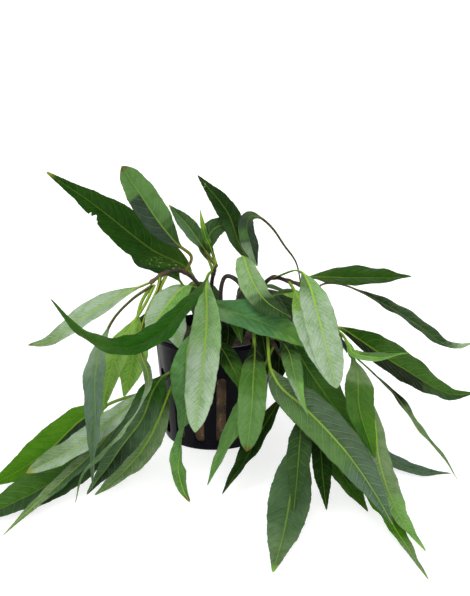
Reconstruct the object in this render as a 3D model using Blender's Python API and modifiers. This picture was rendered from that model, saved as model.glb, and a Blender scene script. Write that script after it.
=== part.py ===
"""Potted hygrophila: dark arching stems with long pointed leaves, in a small slotted net pot.

Metres, +Z up. The origin is the middle of the pot's base, on the surface that it stands on.
-Y is the front, where the longest leaves hang down to the surface.
"""

import math
from collections import namedtuple

import bmesh
import bpy
from mathutils import Matrix, Vector

MM = 0.001

# Pot
POT_HEIGHT = 0.050
POT_BASE_RADIUS = 0.023
POT_TOP_RADIUS = 0.027
RIM_RADIUS = 0.028
RIM_HEIGHT = 0.0024
WALL = 0.0012
FLOOR = 0.0016
BASE_ROUNDING = 0.0012
POT_FACETS = 45
SLOT_COUNT = 15
SLOT_WIDTH = 0.0046
SLOT_BOTTOM = 0.0040
SLOT_TOP = 0.0355
SLOT_FIRST_ANGLE = math.radians(-82.7)

# Growing medium
GAP = 0.0003
MEDIUM_TOP = 0.0460
MEDIUM_FACETS = 30
MEDIUM_EDGE = 0.0015

# Stems and leaves
STEM_RADIUS = 0.0011
STALK_WIDTH = 0.0015
LEAF_THICKNESS = 0.0007
LEAF_STATIONS = 11
SMALL_STATIONS = 9
SMALL_LEAF = 14
FOLD = 0.16
TIP_WIDTH = 0.0009

# Width of a blade, as a share of its widest place, at shares of the blade's length
OUTLINES = {
    "pointed": (
        (0.0, 0.08), (0.1, 0.40), (0.24, 0.80), (0.4, 1.0), (0.56, 0.95), (0.72, 0.72), (0.87, 0.36),
        (1.0, 0.05),
    ),
    "rounded": (
        (0.0, 0.08), (0.1, 0.40), (0.24, 0.78), (0.4, 0.98), (0.58, 1.0), (0.76, 0.90), (0.9, 0.62),
        (1.0, 0.16),
    ),
    "broad": (
        (0.0, 0.08), (0.09, 0.52), (0.2, 0.90), (0.36, 1.0), (0.56, 0.95), (0.72, 0.72), (0.87, 0.36),
        (1.0, 0.05),
    ),
    "tapered": (
        (0.0, 0.08), (0.1, 0.52), (0.22, 0.90), (0.34, 1.0), (0.48, 0.93), (0.67, 0.60), (0.85, 0.27),
        (1.0, 0.05),
    ),
}

Leaf = namedtuple(
    "Leaf", "name stem points width stalk roll tint heading outline", defaults=(None, "pointed")
)

# Linear colours of the leaves
TINTS = {
    "dark": (0.020, 0.070, 0.015),
    "green": (0.045, 0.150, 0.025),
    "bright": (0.070, 0.230, 0.020),
    "pale": (0.240, 0.370, 0.200),
}

# Stems, each from the medium outwards, in millimetres
STEMS = {
    "stem_left": (
        (-7, -1, 46.8), (-6, -1, 58), (-6, -2, 70), (-13, -3, 78), (-21, -8, 79), (-28, -14, 76),
    ),
    "stem_centre": ((1, 3, 46.8), (0, 3, 58), (-1, 0, 70), (0, -7, 79), (1, -13, 84)),
    "stem_right": (
        (13, 2, 46.8), (17, 0, 58), (21, -2, 69), (26, -6, 76), (33, -12, 76), (40, -15, 74),
        (43, -17, 70),
    ),
    "stem_right_front": (
        (17, -8, 46.8), (21, -10, 54), (31, -15, 59), (44, -22, 58), (54, -27, 54), (60, -30, 46),
        (63, -31, 34), (66, -31, 22),
    ),
    "stem_front": (
        (5, -4, 46.8), (4, -8, 58), (3, -11, 70), (5, -12, 78), (10, -14, 77), (15, -17, 70),
        (19, -22, 62), (24, -30, 55), (31, -38, 45), (36, -46, 33), (38, -50, 24),
    ),
    "stem_left_front": (
        (-4, -12, 46.8), (-4, -20, 53), (-5, -29, 54), (-9, -35, 49), (-19, -39, 42), (-31, -42, 35),
    ),
    "stem_back_left": ((-8, 10, 46.8), (-9, 13, 56), (-12, 19, 62), (-16, 27, 60)),
    "stem_back_right": ((8, 11, 46.8), (10, 14, 56), (13, 20, 62), (18, 28, 59)),
}

# Leaves, each from its stem to its tip, in millimetres. width is the blade's, stalk is the share of the
# length before the blade, and roll turns the face about the leaf's own line, at the base and at the tip,
# in degrees.
LEAVES = (
    Leaf("leaf_top_1", "stem_left",
         ((-6, -2, 67), (-12, 7, 77), (-30, 12, 86), (-51, 14, 103), (-75, 12, 121)),
         22, 0.11, (-30, -45), "dark", None, "tapered"),
    Leaf("leaf_top_2", "stem_left",
         ((-13, -3, 78), (-10, -2, 85), (-17, -4, 92), (-26, -8, 105), (-39, -12, 127)),
         14, 0.22, (-60, -60), "green", (-1, 0), "rounded"),
    Leaf("leaf_top_3", "stem_centre",
         ((1, -12, 83), (-4, -6, 89), (-11, 0, 98), (-20, 6, 107)),
         8, 0.18, (-60, -60), "green", (-1, 0)),
    Leaf("leaf_top_4", "stem_right",
         ((22, -3, 71), (15, 3, 83), (11, 4, 91), (6, 6, 104), (-7, 8, 120)),
         10, 0.20, (-70, -70), "dark", (-1, 0)),
    Leaf("leaf_top_5", "stem_right",
         ((38, -14, 75), (36, -10, 84), (31, -7, 91), (26, -4, 98), (20.5, -2, 102.5), (16, -2, 102.5),
          (15, -3, 97), (17, -4, 90), (19.5, -5, 81)),
         11, 0.55, (0, -60), "green", (-1, 0)),
    Leaf("leaf_left_1", "stem_left",
         ((-28, -14, 76), (-39, -14, 71), (-56, -14, 61), (-72, -14, 50), (-83, -12, 47)),
         17, 0.06, (-22, -22), "pale"),
    Leaf("leaf_left_2", "stem_left",
         ((-27, -15, 75), (-36, -22, 70), (-43, -40, 65), (-47, -58, 54), (-47, -71, 35), (-48, -79, 9)),
         13, 0.34, (0, 50), "green", (-0.3, -1)),
    Leaf("leaf_left_3", "stem_left",
         ((-26, -14, 75), (-30, -22, 68), (-38, -35, 57), (-43, -48, 46), (-46, -58, 32)),
         12, 0.30, (0, 0), "bright", (-0.5, -1)),
    Leaf("leaf_left_4", "stem_left",
         ((-27, -13, 75), (-32, -17, 67), (-34, -27, 56), (-35, -36, 45), (-38, -43, 34)),
         14, 0.30, (0, 0), "bright", (-0.3, -1)),
    Leaf("leaf_left_5", "stem_centre",
         ((1, -13, 84), (-4, -26, 79), (-10, -42, 75), (-22, -58, 66), (-37, -66, 63), (-52, -70, 71),
          (-62, -72, 85)),
         15, 0.08, (32, -42), "bright", (-1, -0.6)),
    Leaf("leaf_left_6", "stem_left",
         ((-23.5, -10, 78.2), (-24.5, -17, 73.5), (-29, -23.5, 65), (-31.5, -33, 56), (-30, -43, 52),
          (-27, -53, 49), (-26, -60, 45), (-29, -68, 39), (-35, -78, 33), (-43, -84, 26),
          (-50, -88, 20), (-53, -92, 10)),
         8, 0.34, (0, 90), "green", (-0.4, -1)),
    Leaf("leaf_middle_1", "stem_left",
         ((-6, -3, 70), (-13, -15, 74), (-21, -28, 68), (-26, -37, 61), (-27, -41, 55)),
         14, 0.15, (0, -20), "bright", (-0.6, -1)),
    Leaf("leaf_middle_2", "stem_left",
         ((-21, -8, 78), (-24, -13, 71), (-21, -20, 64), (-17, -26, 57), (-15, -30, 51)),
         15, 0.22, (0, 0), "pale", (0.1, -1)),
    Leaf("leaf_middle_3", "stem_centre",
         ((0, -8, 80), (-3, -17, 78), (-3, -33, 63), (-5, -47, 45), (-8, -58, 24)),
         14, 0.10, (10, 10), "pale", (-0.1, -1), "rounded"),
    Leaf("leaf_middle_4", "stem_left_front",
         ((-5, -29, 54), (-8.5, -34, 58), (-11, -38.5, 54), (-11.5, -42.5, 44), (-11, -45, 31),
          (-13, -50, 19), (-14.5, -63, 12), (-13, -73, 7), (-10, -80, 4)),
         15, 0.06, (-46, 182), "green", (0, -1), "broad"),
    Leaf("leaf_middle_5", "stem_right",
         ((19, -1, 63), (14, 0, 72), (12, -5, 82), (13, -12, 87), (15, -18, 82), (19, -27, 75),
          (24, -34, 71), (32, -42, 68)),
         11.5, 0.30, (0, 0), "green", (0.2, -1), "rounded"),
    Leaf("leaf_middle_6", "stem_centre",
         ((0, 3, 60), (-2, -10, 66), (3, -20, 66), (14, -30, 65), (24, -34, 62), (32, -36, 59),
          (39, -36, 55), (45, -35, 51)),
         16, 0.16, (30, 30), "dark", (1, -0.3)),
    Leaf("leaf_middle_7", "stem_right",
         ((27, -7, 76), (35.5, -22, 83), (39, -36, 82), (42, -52, 72), (45, -60, 60), (49, -64, 45)),
         13.5, 0.28, (0, 0), "pale", (0.2, -1), "rounded"),
    Leaf("leaf_middle_8", "stem_right",
         ((33, -12, 76), (36, -24, 72), (39, -36, 63), (42, -45, 54), (46, -51, 44)),
         11, 0.12, (0, 0), "pale", (0.2, -1)),
    Leaf("leaf_right_1", "stem_right",
         ((38, -14, 74.5), (42, -14, 78), (52, -18, 79), (67, -24, 80), (84, -29, 82)),
         18, 0.06, (14, 14), "dark"),
    Leaf("leaf_right_2", "stem_right",
         ((43, -17, 71), (49, -14, 75), (61, -14, 73), (82, -16, 62), (100, -20, 50), (108, -21, 48),
          (114, -22, 50)),
         13, 0.24, (0, 20), "dark", (1, -0.1)),
    Leaf("leaf_right_3", "stem_right_front",
         ((46, -23, 57), (54, -24, 58), (64, -24, 52), (75, -23, 44), (87, -22, 36), (98, -22, 29),
          (106, -23, 26), (115, -24, 27)),
         21, 0.06, (32, 22), "green", (1, 0), "pointed"),
    Leaf("leaf_right_4", "stem_right_front",
         ((59, -30, 48), (68, -36, 41), (79, -42, 30), (87, -48, 19), (95, -56, 11), (100, -63, 4)),
         11, 0.12, (-35, -35), "pale", (1, -0.4)),
    Leaf("leaf_right_5", "stem_right_front",
         ((66, -31, 22), (71, -37, 9), (78, -44, 3), (88, -51, 2), (99, -57, 4)),
         8, 0.14, (10, 10), "dark", (1, -0.3)),
    Leaf("leaf_right_6", "stem_right_front",
         ((61, -31, 42), (65, -40, 33), (67, -50, 24), (66.5, -62, 16), (67.5, -77, 10), (70, -96, 5),
          (76, -117, 2)),
         12, 0.10, (-30, -12), "green", (0.2, -1)),
    Leaf("leaf_right_7", "stem_right_front",
         ((58, -30, 50), (60, -44, 44), (59, -58, 34), (62, -66, 24), (64, -72, 18)),
         14, 0.10, (-20, -20), "bright", (0.1, -1)),
    Leaf("leaf_right_8", "stem_right_front",
         ((30, -17, 59), (33, -23, 55), (36, -29, 49), (41, -36, 41.5), (48, -42, 32.5), (55, -45, 24),
          (63, -48, 15), (70, -52, 6)),
         18, 0.06, (0, 0), "dark", (0.6, -1), "tapered"),
    Leaf("leaf_front_1", "stem_front",
         ((23, -29, 56), (23, -36, 53), (23, -42, 49), (24, -48, 46), (28, -54, 41), (38, -64, 35),
          (50, -80, 26), (59, -96, 17), (65, -110, 9)),
         17, 0.16, (20, 10), "dark", (0.5, -1), "broad"),
    Leaf("leaf_front_2", "stem_front",
         ((37, -47, 30), (48, -56, 24), (57, -72, 13), (65, -93, 5), (69, -114, 3), (73, -136, 2)),
         12, 0.12, (-20, -20), "bright", (0.3, -1), "tapered"),
    Leaf("leaf_front_3", "stem_front",
         ((38, -50, 24), (45, -60, 18), (53, -76, 9), (59, -90, 4)),
         10, 0.12, (0, 0), "dark", (0.4, -1)),
    Leaf("leaf_front_4", "stem_front",
         ((37, -49, 25), (34, -64, 21), (29, -88, 9), (25, -108, 4), (20, -130, 2)),
         16, 0.10, (0, 0), "dark", (-0.1, -1)),
    Leaf("leaf_front_5", "stem_front",
         ((36, -46, 32), (35, -62, 28), (33, -78, 24), (31, -92, 17), (29, -104, 11)),
         9.5, 0.10, (0, 0), "dark", (0, -1)),
    Leaf("leaf_front_6", "stem_front",
         ((33, -43, 40), (23, -50, 27), (14, -58, 14), (3, -72, 3)),
         13, 0.10, (30, 30), "dark", (-0.5, -1)),
    Leaf("leaf_front_7", "stem_front",
         ((19, -23, 60), (17, -33, 58), (17, -43, 54), (16, -53, 46), (15, -59, 33), (13, -64, 18)),
         11.5, 0.24, (0, 0), "green", (-0.1, -1), "rounded"),
    Leaf("leaf_front_8", "stem_front",
         ((26, -32, 53), (15, -42, 33), (5, -52, 16), (-3, -64, 3)),
         12, 0.10, (30, 30), "green", (-0.5, -1)),
    Leaf("leaf_low_1", "stem_left_front",
         ((-31, -42, 35), (-44, -37, 29), (-58, -38, 21), (-69, -45, 12), (-81, -54, 6), (-93, -63, 3)),
         19, 0.20, (-25, -25), "bright", (-1, -0.4)),
    Leaf("leaf_low_2", "stem_left_front",
         ((-24, -40, 39), (-28, -45, 39), (-33, -50, 34.5), (-40, -54, 30), (-49, -60, 24),
          (-61, -66, 18), (-75, -72, 13)),
         14, 0.06, (-10, -10), "pale", (-1, -0.5), "rounded"),
    Leaf("leaf_low_3", "stem_left_front",
         ((-29, -41, 36), (-37, -44, 24), (-49, -52, 13), (-66, -66, 6), (-81, -82, 4), (-93, -95, 4)),
         20, 0.16, (-18, -18), "dark", (-1, -0.7)),
    Leaf("leaf_low_4", "stem_left_front",
         ((-31, -43, 34), (-40, -51, 25), (-50, -60, 16), (-62, -71, 8), (-72, -86, 4), (-79, -102, 2)),
         8, 0.14, (0, 0), "green", (-0.8, -1), "tapered"),
    Leaf("leaf_low_5", "stem_left_front",
         ((-15, -37, 45), (-19, -37, 34), (-24, -41, 22), (-29, -48, 14), (-35.5, -57, 8.5),
          (-42, -66, 5.5), (-48, -74, 4)),
         14, 0.12, (0, 0), "green", (-0.5, -1)),
    Leaf("leaf_low_6", "stem_left_front",
         ((-18.5, -39.5, 43.5), (-22, -45.5, 43), (-25.5, -53.5, 39.5), (-29.5, -61, 31),
          (-37, -66.5, 22), (-44, -70.5, 13), (-51, -75, 5)),
         13.5, 0.05, (0, 0), "dark", (-0.5, -1), "broad"),
    Leaf("leaf_back_1", "stem_back_left",
         ((-12, 19, 62), (-18, 21, 70), (-26, 24, 75), (-34, 27, 76), (-40, 30, 79)),
         17, 0.16, (-20, -20), "green", (-1, 0.2)),
    Leaf("leaf_back_2", "stem_back_left",
         ((-15, 24, 61), (-19, 36, 61), (-23, 50, 45), (-26, 62, 17)),
         18, 0.12, (0, 0), "dark"),
    Leaf("leaf_back_3", "stem_back_left",
         ((-14, 23, 62), (-8, 36, 63), (-5, 55, 48), (-5, 72, 22)),
         18, 0.12, (0, 0), "green"),
    Leaf("leaf_back_4", "stem_back_left",
         ((-16, 27, 60), (-27, 35, 51), (-37, 42, 33), (-43, 50, 8)),
         18, 0.12, (0, 0), "dark"),
    Leaf("leaf_back_5", "stem_back_right",
         ((13, 20, 62), (24, 23, 64), (40, 30, 55), (54, 37, 33)),
         20, 0.12, (0, 0), "green"),
    Leaf("leaf_back_6", "stem_back_right",
         ((17, 26, 60), (28, 38, 58), (38, 54, 42), (44, 66, 16)),
         19, 0.12, (0, 0), "dark"),
    Leaf("leaf_back_7", "stem_back_right",
         ((14, 22, 62), (18, 38, 62), (20, 58, 46), (20, 76, 16)),
         17, 0.12, (0, 0), "green"),
    Leaf("leaf_back_8", "stem_back_right",
         ((18, 28, 59), (22, 38, 49), (27, 46, 29), (30, 55, 5)),
         18, 0.12, (0, 0), "dark"),
    Leaf("leaf_back_9", "stem_right",
         ((19, 0, 61), (33, 4, 66), (48, 8, 58), (63, 12, 34)),
         18, 0.12, (0, 0), "green"),
)

# Small young leaves, each one piece with the stem that it grows from
YOUNG_LEAVES = (
    Leaf("young_1", "stem_centre",
         ((1, -13, 84), (-1, -11, 90), (-4, -9, 97), (-6, -8, 108)),
         3, 0.10, (-60, -60), "bright", (-1, 0)),
    Leaf("young_2", "stem_centre",
         ((0, -6, 78), (-3, 0, 88), (0, 4, 96), (10, 8, 99)),
         10, 0.20, (60, 60), "dark", (1, 0)),
    Leaf("young_3", "stem_right",
         ((41, -16, 73), (36, -19, 71), (30, -20, 72)),
         6, 0.10, (-20, -20), "bright"),
    Leaf("young_4", "stem_right_front",
         ((50, -26, 56), (54, -32, 58), (57, -36, 54), (59, -39, 51), (69, -42, 50), (82, -44, 53)),
         8, 0.26, (10, 10), "bright"),
    Leaf("young_5", "stem_front",
         ((24, -30, 55), (28, -36, 56), (31, -45, 54), (32.5, -54, 48), (34.5, -63, 41), (37, -70, 36)),
         8.5, 0.16, (0, 0), "bright", None, "tapered"),
    Leaf("young_6", "stem_front",
         ((38, -50, 24), (42, -66, 23), (42, -84, 15), (42, -98, 9)),
         8, 0.10, (0, 0), "dark"),
    Leaf("young_7", "stem_left_front",
         ((-4, -22, 54), (3, -33, 52), (8, -41, 45), (13, -50, 36)),
         10, 0.12, (0, 0), "dark"),
    Leaf("young_8", "stem_front",
         ((20, -24, 60), (21, -29, 55), (22, -32, 49), (23, -34, 40)),
         7, 0.10, (0, 0), "dark", (0, -1)),
    Leaf("young_9", "stem_front",
         ((3, -9, 62), (7, -17, 62), (10, -24, 59), (12, -27, 52)),
         6, 0.10, (0, 0), "green", (0, -1)),
    Leaf("young_10", "stem_front",
         ((4, -8, 58), (6, -18, 58), (6, -26, 54), (4, -31, 47)),
         8, 0.10, (0, 0), "dark", (0, -1)),
    Leaf("young_11", "stem_right_front",
         ((31, -15, 59), (30, -20, 54), (28.5, -24, 45), (28, -27, 33)),
         10, 0.10, (0, 0), "dark", (0, -1)),
)


def clear_scene():
    """Removes every object that the scene starts with."""
    for found in list(bpy.data.objects):
        bpy.data.objects.remove(found, do_unlink=True)


def new_collection(name):
    """Returns a new collection linked to the scene."""
    made = bpy.data.collections.new(name)
    bpy.context.scene.collection.children.link(made)
    return made


def principled(name, colour, roughness):
    """Returns a material with one Principled BSDF."""
    made = bpy.data.materials.new(name)
    made.use_nodes = True
    shader = made.node_tree.nodes["Principled BSDF"]
    shader.inputs["Base Color"].default_value = (*colour, 1.0)
    shader.inputs["Roughness"].default_value = roughness
    shader.inputs["Metallic"].default_value = 0.0
    return made


def finish_mesh(name, shape, collection, material=None):
    """Turns a bmesh into a named object with its material."""
    mesh = bpy.data.meshes.new(name)
    shape.to_mesh(mesh)
    shape.free()
    made = bpy.data.objects.new(name, mesh)
    collection.objects.link(made)
    if material is not None:
        mesh.materials.append(material)
    return made


def as_cutter(made):
    """Marks an object as one that only cuts or joins others."""
    made.hide_render = True
    made.display_type = "WIRE"
    return made


def curve_point(points, place):
    """Returns the point of a smooth curve through the points, at a place counted in points."""
    last = len(points) - 1
    index = min(int(place), last - 1)
    part = place - index
    here, there = points[index], points[index + 1]
    before = points[index - 1] if index > 0 else here * 2.0 - there
    after = points[index + 2] if index + 2 <= last else there * 2.0 - here
    return 0.5 * (
        here * 2.0
        + (there - before) * part
        + (before * 2.0 - here * 5.0 + there * 4.0 - after) * part**2
        + (here * 3.0 - before - there * 3.0 + after) * part**3
    )


def smooth_line(points_mm, count):
    """Returns evenly spaced points along a smooth curve through points given in millimetres."""
    points = [Vector(point) * MM for point in points_mm]
    fine = 24 * (len(points) - 1)
    line = [curve_point(points, step * (len(points) - 1) / fine) for step in range(fine + 1)]
    return even_line(line, count)


def even_line(line, count):
    """Returns count points at equal distances along a line of points."""
    lengths = [0.0]
    for first, second in zip(line, line[1:]):
        lengths.append(lengths[-1] + (second - first).length)
    result = []
    index = 0
    for step in range(count):
        target = lengths[-1] * step / (count - 1)
        while index < len(line) - 2 and lengths[index + 1] < target:
            index += 1
        part = (target - lengths[index]) / (lengths[index + 1] - lengths[index])
        result.append(line[index].lerp(line[index + 1], part))
    return result


def distance_to_line(point, line):
    """Returns the distance from a point to a line of points."""
    nearest = math.inf
    for first, second in zip(line, line[1:]):
        run = second - first
        part = max(0.0, min(1.0, (point - first).dot(run) / run.length_squared))
        nearest = min(nearest, (point - first - run * part).length)
    return nearest


def blade_share(place, outline):
    """Returns the blade's width as a share of its widest place."""
    for (start, low), (end, high) in zip(outline, outline[1:]):
        if place <= end:
            return low + (high - low) * (place - start) / (end - start)
    return outline[-1][1]


def leaf_stations(leaf):
    """Returns the places along a leaf, as shares of its length, where its width is set."""
    stalk = leaf.stalk
    on_stalk = [0.0, stalk * 0.55] if stalk < 0.3 else [0.0, stalk * 0.25, stalk * 0.5, stalk * 0.75]
    on_blade = (SMALL_STATIONS if leaf.width <= SMALL_LEAF else LEAF_STATIONS) - len(on_stalk)
    return on_stalk + [stalk + (1.0 - stalk) * step / (on_blade - 1) for step in range(on_blade)]


def leaf_shape(leaf, free_from=None):
    """Returns the leaf as an open grid, three points across, bent along its own line."""
    line = smooth_line(leaf.points, 121)
    if free_from is not None:
        clearance = STEM_RADIUS + GAP + 0.35 * STALK_WIDTH
        outside = [distance_to_line(point, free_from) > clearance for point in line]
        first = outside.index(True)
        line = even_line(line[first:], 121)
    heading = leaf.heading or (line[-1].x - line[0].x, line[-1].y - line[0].y)
    side = Vector((-heading[1], heading[0], 0.0)).normalized()
    stations = leaf_stations(leaf)
    shape = bmesh.new()
    bmesh.ops.create_grid(shape, x_segments=2, y_segments=len(stations) - 1, size=1.0)
    for vert in shape.verts:
        across = round(vert.co.x)
        row = round((vert.co.y + 1.0) / 2.0 * (len(stations) - 1))
        share = stations[row]
        index = min(max(round(share * 120), 1), 119)
        centre = line[round(share * 120)]
        along = (line[index + 1] - line[index - 1]).normalized()
        level = (side - along * side.dot(along)).normalized()
        roll = math.radians(leaf.roll[0] + (leaf.roll[1] - leaf.roll[0]) * share)
        level.rotate(Matrix.Rotation(roll, 3, along))
        up = along.cross(level)
        if share < leaf.stalk:
            half = STALK_WIDTH / 2.0
        else:
            place = (share - leaf.stalk) / (1.0 - leaf.stalk)
            spread = blade_share(place, OUTLINES[leaf.outline]) * leaf.width * MM
            half = max(spread, STALK_WIDTH if share < 0.5 else TIP_WIDTH) / 2.0
        lift = half * FOLD if half > STALK_WIDTH else 0.0
        vert.co = centre - level * (half * across) + up * (lift * abs(across))
    return shape


def add_leaf(leaf, collection, material, free_from=None):
    """Adds a leaf as a thin solid."""
    made = finish_mesh(leaf.name, leaf_shape(leaf, free_from), collection, material)
    skin = made.modifiers.new("thickness", "SOLIDIFY")
    skin.thickness = LEAF_THICKNESS
    skin.offset = 0.0
    return made


def add_stem(name, collection, material):
    """Adds a stem as a round rod along its smooth line."""
    line = smooth_line(STEMS[name], 2 * len(STEMS[name]))
    data = bpy.data.curves.new(name, "CURVE")
    data.dimensions = "3D"
    data.bevel_depth = STEM_RADIUS
    data.bevel_resolution = 1
    data.use_fill_caps = True
    spline = data.splines.new("POLY")
    spline.points.add(len(line) - 1)
    for spot, point in zip(spline.points, line):
        spot.co = (*point, 1.0)
    curve = bpy.data.objects.new(name + "_line", data)
    collection.objects.link(curve)
    bpy.context.view_layer.update()
    mesh = bpy.data.meshes.new_from_object(curve.evaluated_get(bpy.context.evaluated_depsgraph_get()))
    bpy.data.objects.remove(curve, do_unlink=True)
    shape = bmesh.new()
    shape.from_mesh(mesh)
    bpy.data.meshes.remove(mesh)
    bmesh.ops.remove_doubles(shape, verts=shape.verts, dist=0.00001)
    return finish_mesh(name, shape, collection, material)


def wall_radius(height):
    """Returns the radius of the pot's outer wall at a height."""
    return POT_BASE_RADIUS + (POT_TOP_RADIUS - POT_BASE_RADIUS) * height / POT_HEIGHT


def add_pot(collection, cutters, material):
    """Adds the net pot: a turned cup with a rim, cut by upright slots."""
    rim_bottom = POT_HEIGHT - RIM_HEIGHT
    profile = (
        (0.0, FLOOR),
        (wall_radius(FLOOR) - WALL, FLOOR),
        (wall_radius(POT_HEIGHT) - WALL, POT_HEIGHT),
        (RIM_RADIUS, POT_HEIGHT),
        (RIM_RADIUS, rim_bottom),
        (wall_radius(rim_bottom), rim_bottom),
        (wall_radius(BASE_ROUNDING), BASE_ROUNDING),
        (POT_BASE_RADIUS - BASE_ROUNDING, 0.0),
        (0.0, 0.0),
    )
    shape = bmesh.new()
    corners = [shape.verts.new((radius, 0.0, height)) for radius, height in profile]
    for first, second in zip(corners, corners[1:]):
        shape.edges.new((first, second))
    pot = finish_mesh("pot", shape, collection, material)
    turn = pot.modifiers.new("turn", "SCREW")
    turn.steps = POT_FACETS
    turn.render_steps = POT_FACETS
    turn.use_merge_vertices = True
    turn.merge_threshold = 0.0001
    cut = pot.modifiers.new("slots", "BOOLEAN")
    cut.operation = "DIFFERENCE"
    cut.solver = "EXACT"
    cut.object = add_slots(cutters)
    return pot


def add_slots(cutters):
    """Adds the cutter for the slots, rods of rounded outline that point outwards."""
    shape = bmesh.new()
    half = SLOT_WIDTH / 2.0
    reach = (0.017, 0.034)
    for number in range(SLOT_COUNT):
        turn = Matrix.Rotation(SLOT_FIRST_ANGLE + number * math.tau / SLOT_COUNT, 4, "Z")
        corner = half / math.cos(math.pi / 8.0)
        rounded = bmesh.ops.create_circle(shape, cap_ends=True, segments=8, radius=corner)
        outline = rounded["verts"]
        stand = Matrix.Rotation(math.pi / 2.0, 4, "Y") @ Matrix.Rotation(math.pi / 8.0, 4, "Z")
        bmesh.ops.transform(shape, verts=outline, matrix=stand)
        for vert in outline:
            vert.co.x = reach[0]
            vert.co.z += SLOT_TOP - half if vert.co.z > 0.0 else SLOT_BOTTOM + half
        faces = list({face for vert in outline for face in vert.link_faces})
        pushed = bmesh.ops.extrude_face_region(shape, geom=faces)
        far = [item for item in pushed["geom"] if isinstance(item, bmesh.types.BMVert)]
        bmesh.ops.translate(shape, verts=far, vec=(reach[1] - reach[0], 0.0, 0.0))
        bmesh.ops.transform(shape, verts=outline + far, matrix=turn)
    bmesh.ops.recalc_face_normals(shape, faces=shape.faces)
    return as_cutter(finish_mesh("slot_cutter", shape, cutters))


def add_medium(collection, material):
    """Adds the growing medium that fills the pot, with a worn top edge."""
    shape = bmesh.new()
    bottom = FLOOR + GAP
    low = wall_radius(bottom) - WALL - 2.0 * GAP
    high = wall_radius(MEDIUM_TOP) - WALL - 2.0 * GAP
    bmesh.ops.create_cone(
        shape, cap_ends=True, segments=MEDIUM_FACETS, radius1=low, radius2=high, depth=MEDIUM_TOP - bottom,
        matrix=Matrix.Translation((0.0, 0.0, (MEDIUM_TOP + bottom) / 2.0)),
    )
    top_edge = [
        edge for edge in shape.edges if all(vert.co.z > MEDIUM_TOP - GAP for vert in edge.verts)
    ]
    bmesh.ops.bevel(shape, geom=top_edge, offset=MEDIUM_EDGE, segments=1, profile=0.5, affect="EDGES")
    return finish_mesh("growing_medium", shape, collection, material)


def main():
    """Builds the whole plant in its pot."""
    clear_scene()
    parts = new_collection("potted_hygrophila")
    cutters = new_collection("cutters")
    add_pot(parts, cutters, principled("pot_plastic", (0.012, 0.012, 0.018), 0.4))
    add_medium(parts, principled("growing_medium", (0.070, 0.045, 0.023), 0.95))
    stems = {name: add_stem(name, parts, principled(name, (0.035, 0.020, 0.018), 0.5)) for name in STEMS}
    for leaf in LEAVES:
        along = smooth_line(STEMS[leaf.stem], 40)
        add_leaf(leaf, parts, principled(leaf.name, TINTS[leaf.tint], 0.45), along)
    for leaf in YOUNG_LEAVES:
        grown = as_cutter(add_leaf(leaf, cutters, principled(leaf.name, TINTS[leaf.tint], 0.45)))
        join = stems[leaf.stem].modifiers.new(leaf.name, "BOOLEAN")
        join.operation = "UNION"
        join.solver = "EXACT"
        join.object = grown


main()
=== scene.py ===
"""Potted hygrophila, dressed: veined leaves, jointed dark stems, fibrous growing medium and a net pot.

Metres, +Z up. The origin is the middle of the pot's base, on the surface that it stands on.
-Y is the front, where the longest leaves hang down to the surface.
"""

import logging
import math
import random
from dataclasses import dataclass, field
from enum import Enum

import bmesh
import bpy
from mathutils import Matrix, Vector, noise


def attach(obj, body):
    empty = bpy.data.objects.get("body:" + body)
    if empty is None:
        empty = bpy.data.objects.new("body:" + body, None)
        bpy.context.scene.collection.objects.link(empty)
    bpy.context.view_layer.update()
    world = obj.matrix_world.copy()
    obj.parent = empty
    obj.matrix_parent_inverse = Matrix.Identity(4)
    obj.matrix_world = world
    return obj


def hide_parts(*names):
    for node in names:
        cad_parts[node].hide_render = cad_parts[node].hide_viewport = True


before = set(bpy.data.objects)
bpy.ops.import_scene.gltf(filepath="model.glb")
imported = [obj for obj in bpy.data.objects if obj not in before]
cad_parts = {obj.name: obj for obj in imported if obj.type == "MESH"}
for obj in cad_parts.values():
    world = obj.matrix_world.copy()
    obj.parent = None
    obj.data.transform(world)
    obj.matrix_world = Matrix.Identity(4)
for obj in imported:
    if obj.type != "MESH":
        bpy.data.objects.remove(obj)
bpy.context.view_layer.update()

MM = 0.001
STEM_RADIUS = 0.0011
MERGE_DISTANCE = 0.00001
LOG = logging.getLogger("potted_hygrophila")

Rgb = tuple[float, float, float]
Point = tuple[float, float, float]


# Named options


class Slot(Enum):
    """The record's material slots."""

    POT = "pot"
    MEDIUM = "growing_medium"
    STEM = "stem"
    DARK = "leaf_dark"
    GREEN = "leaf_green"
    BRIGHT = "leaf_bright"
    PALE = "leaf_pale"


class Outline(Enum):
    """Width of a blade, as a share of its widest place, at shares of the blade's length."""

    POINTED = (
        (0.0, 0.08), (0.1, 0.40), (0.24, 0.80), (0.4, 1.0), (0.56, 0.95), (0.72, 0.72), (0.87, 0.36),
        (1.0, 0.05),
    )
    ROUNDED = (
        (0.0, 0.08), (0.1, 0.40), (0.24, 0.78), (0.4, 0.98), (0.58, 1.0), (0.76, 0.90), (0.9, 0.62),
        (1.0, 0.16),
    )
    BROAD = (
        (0.0, 0.08), (0.09, 0.52), (0.2, 0.90), (0.36, 1.0), (0.56, 0.95), (0.72, 0.72), (0.87, 0.36),
        (1.0, 0.05),
    )
    TAPERED = (
        (0.0, 0.08), (0.1, 0.52), (0.22, 0.90), (0.34, 1.0), (0.48, 0.93), (0.67, 0.60), (0.85, 0.27),
        (1.0, 0.05),
    )


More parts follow.
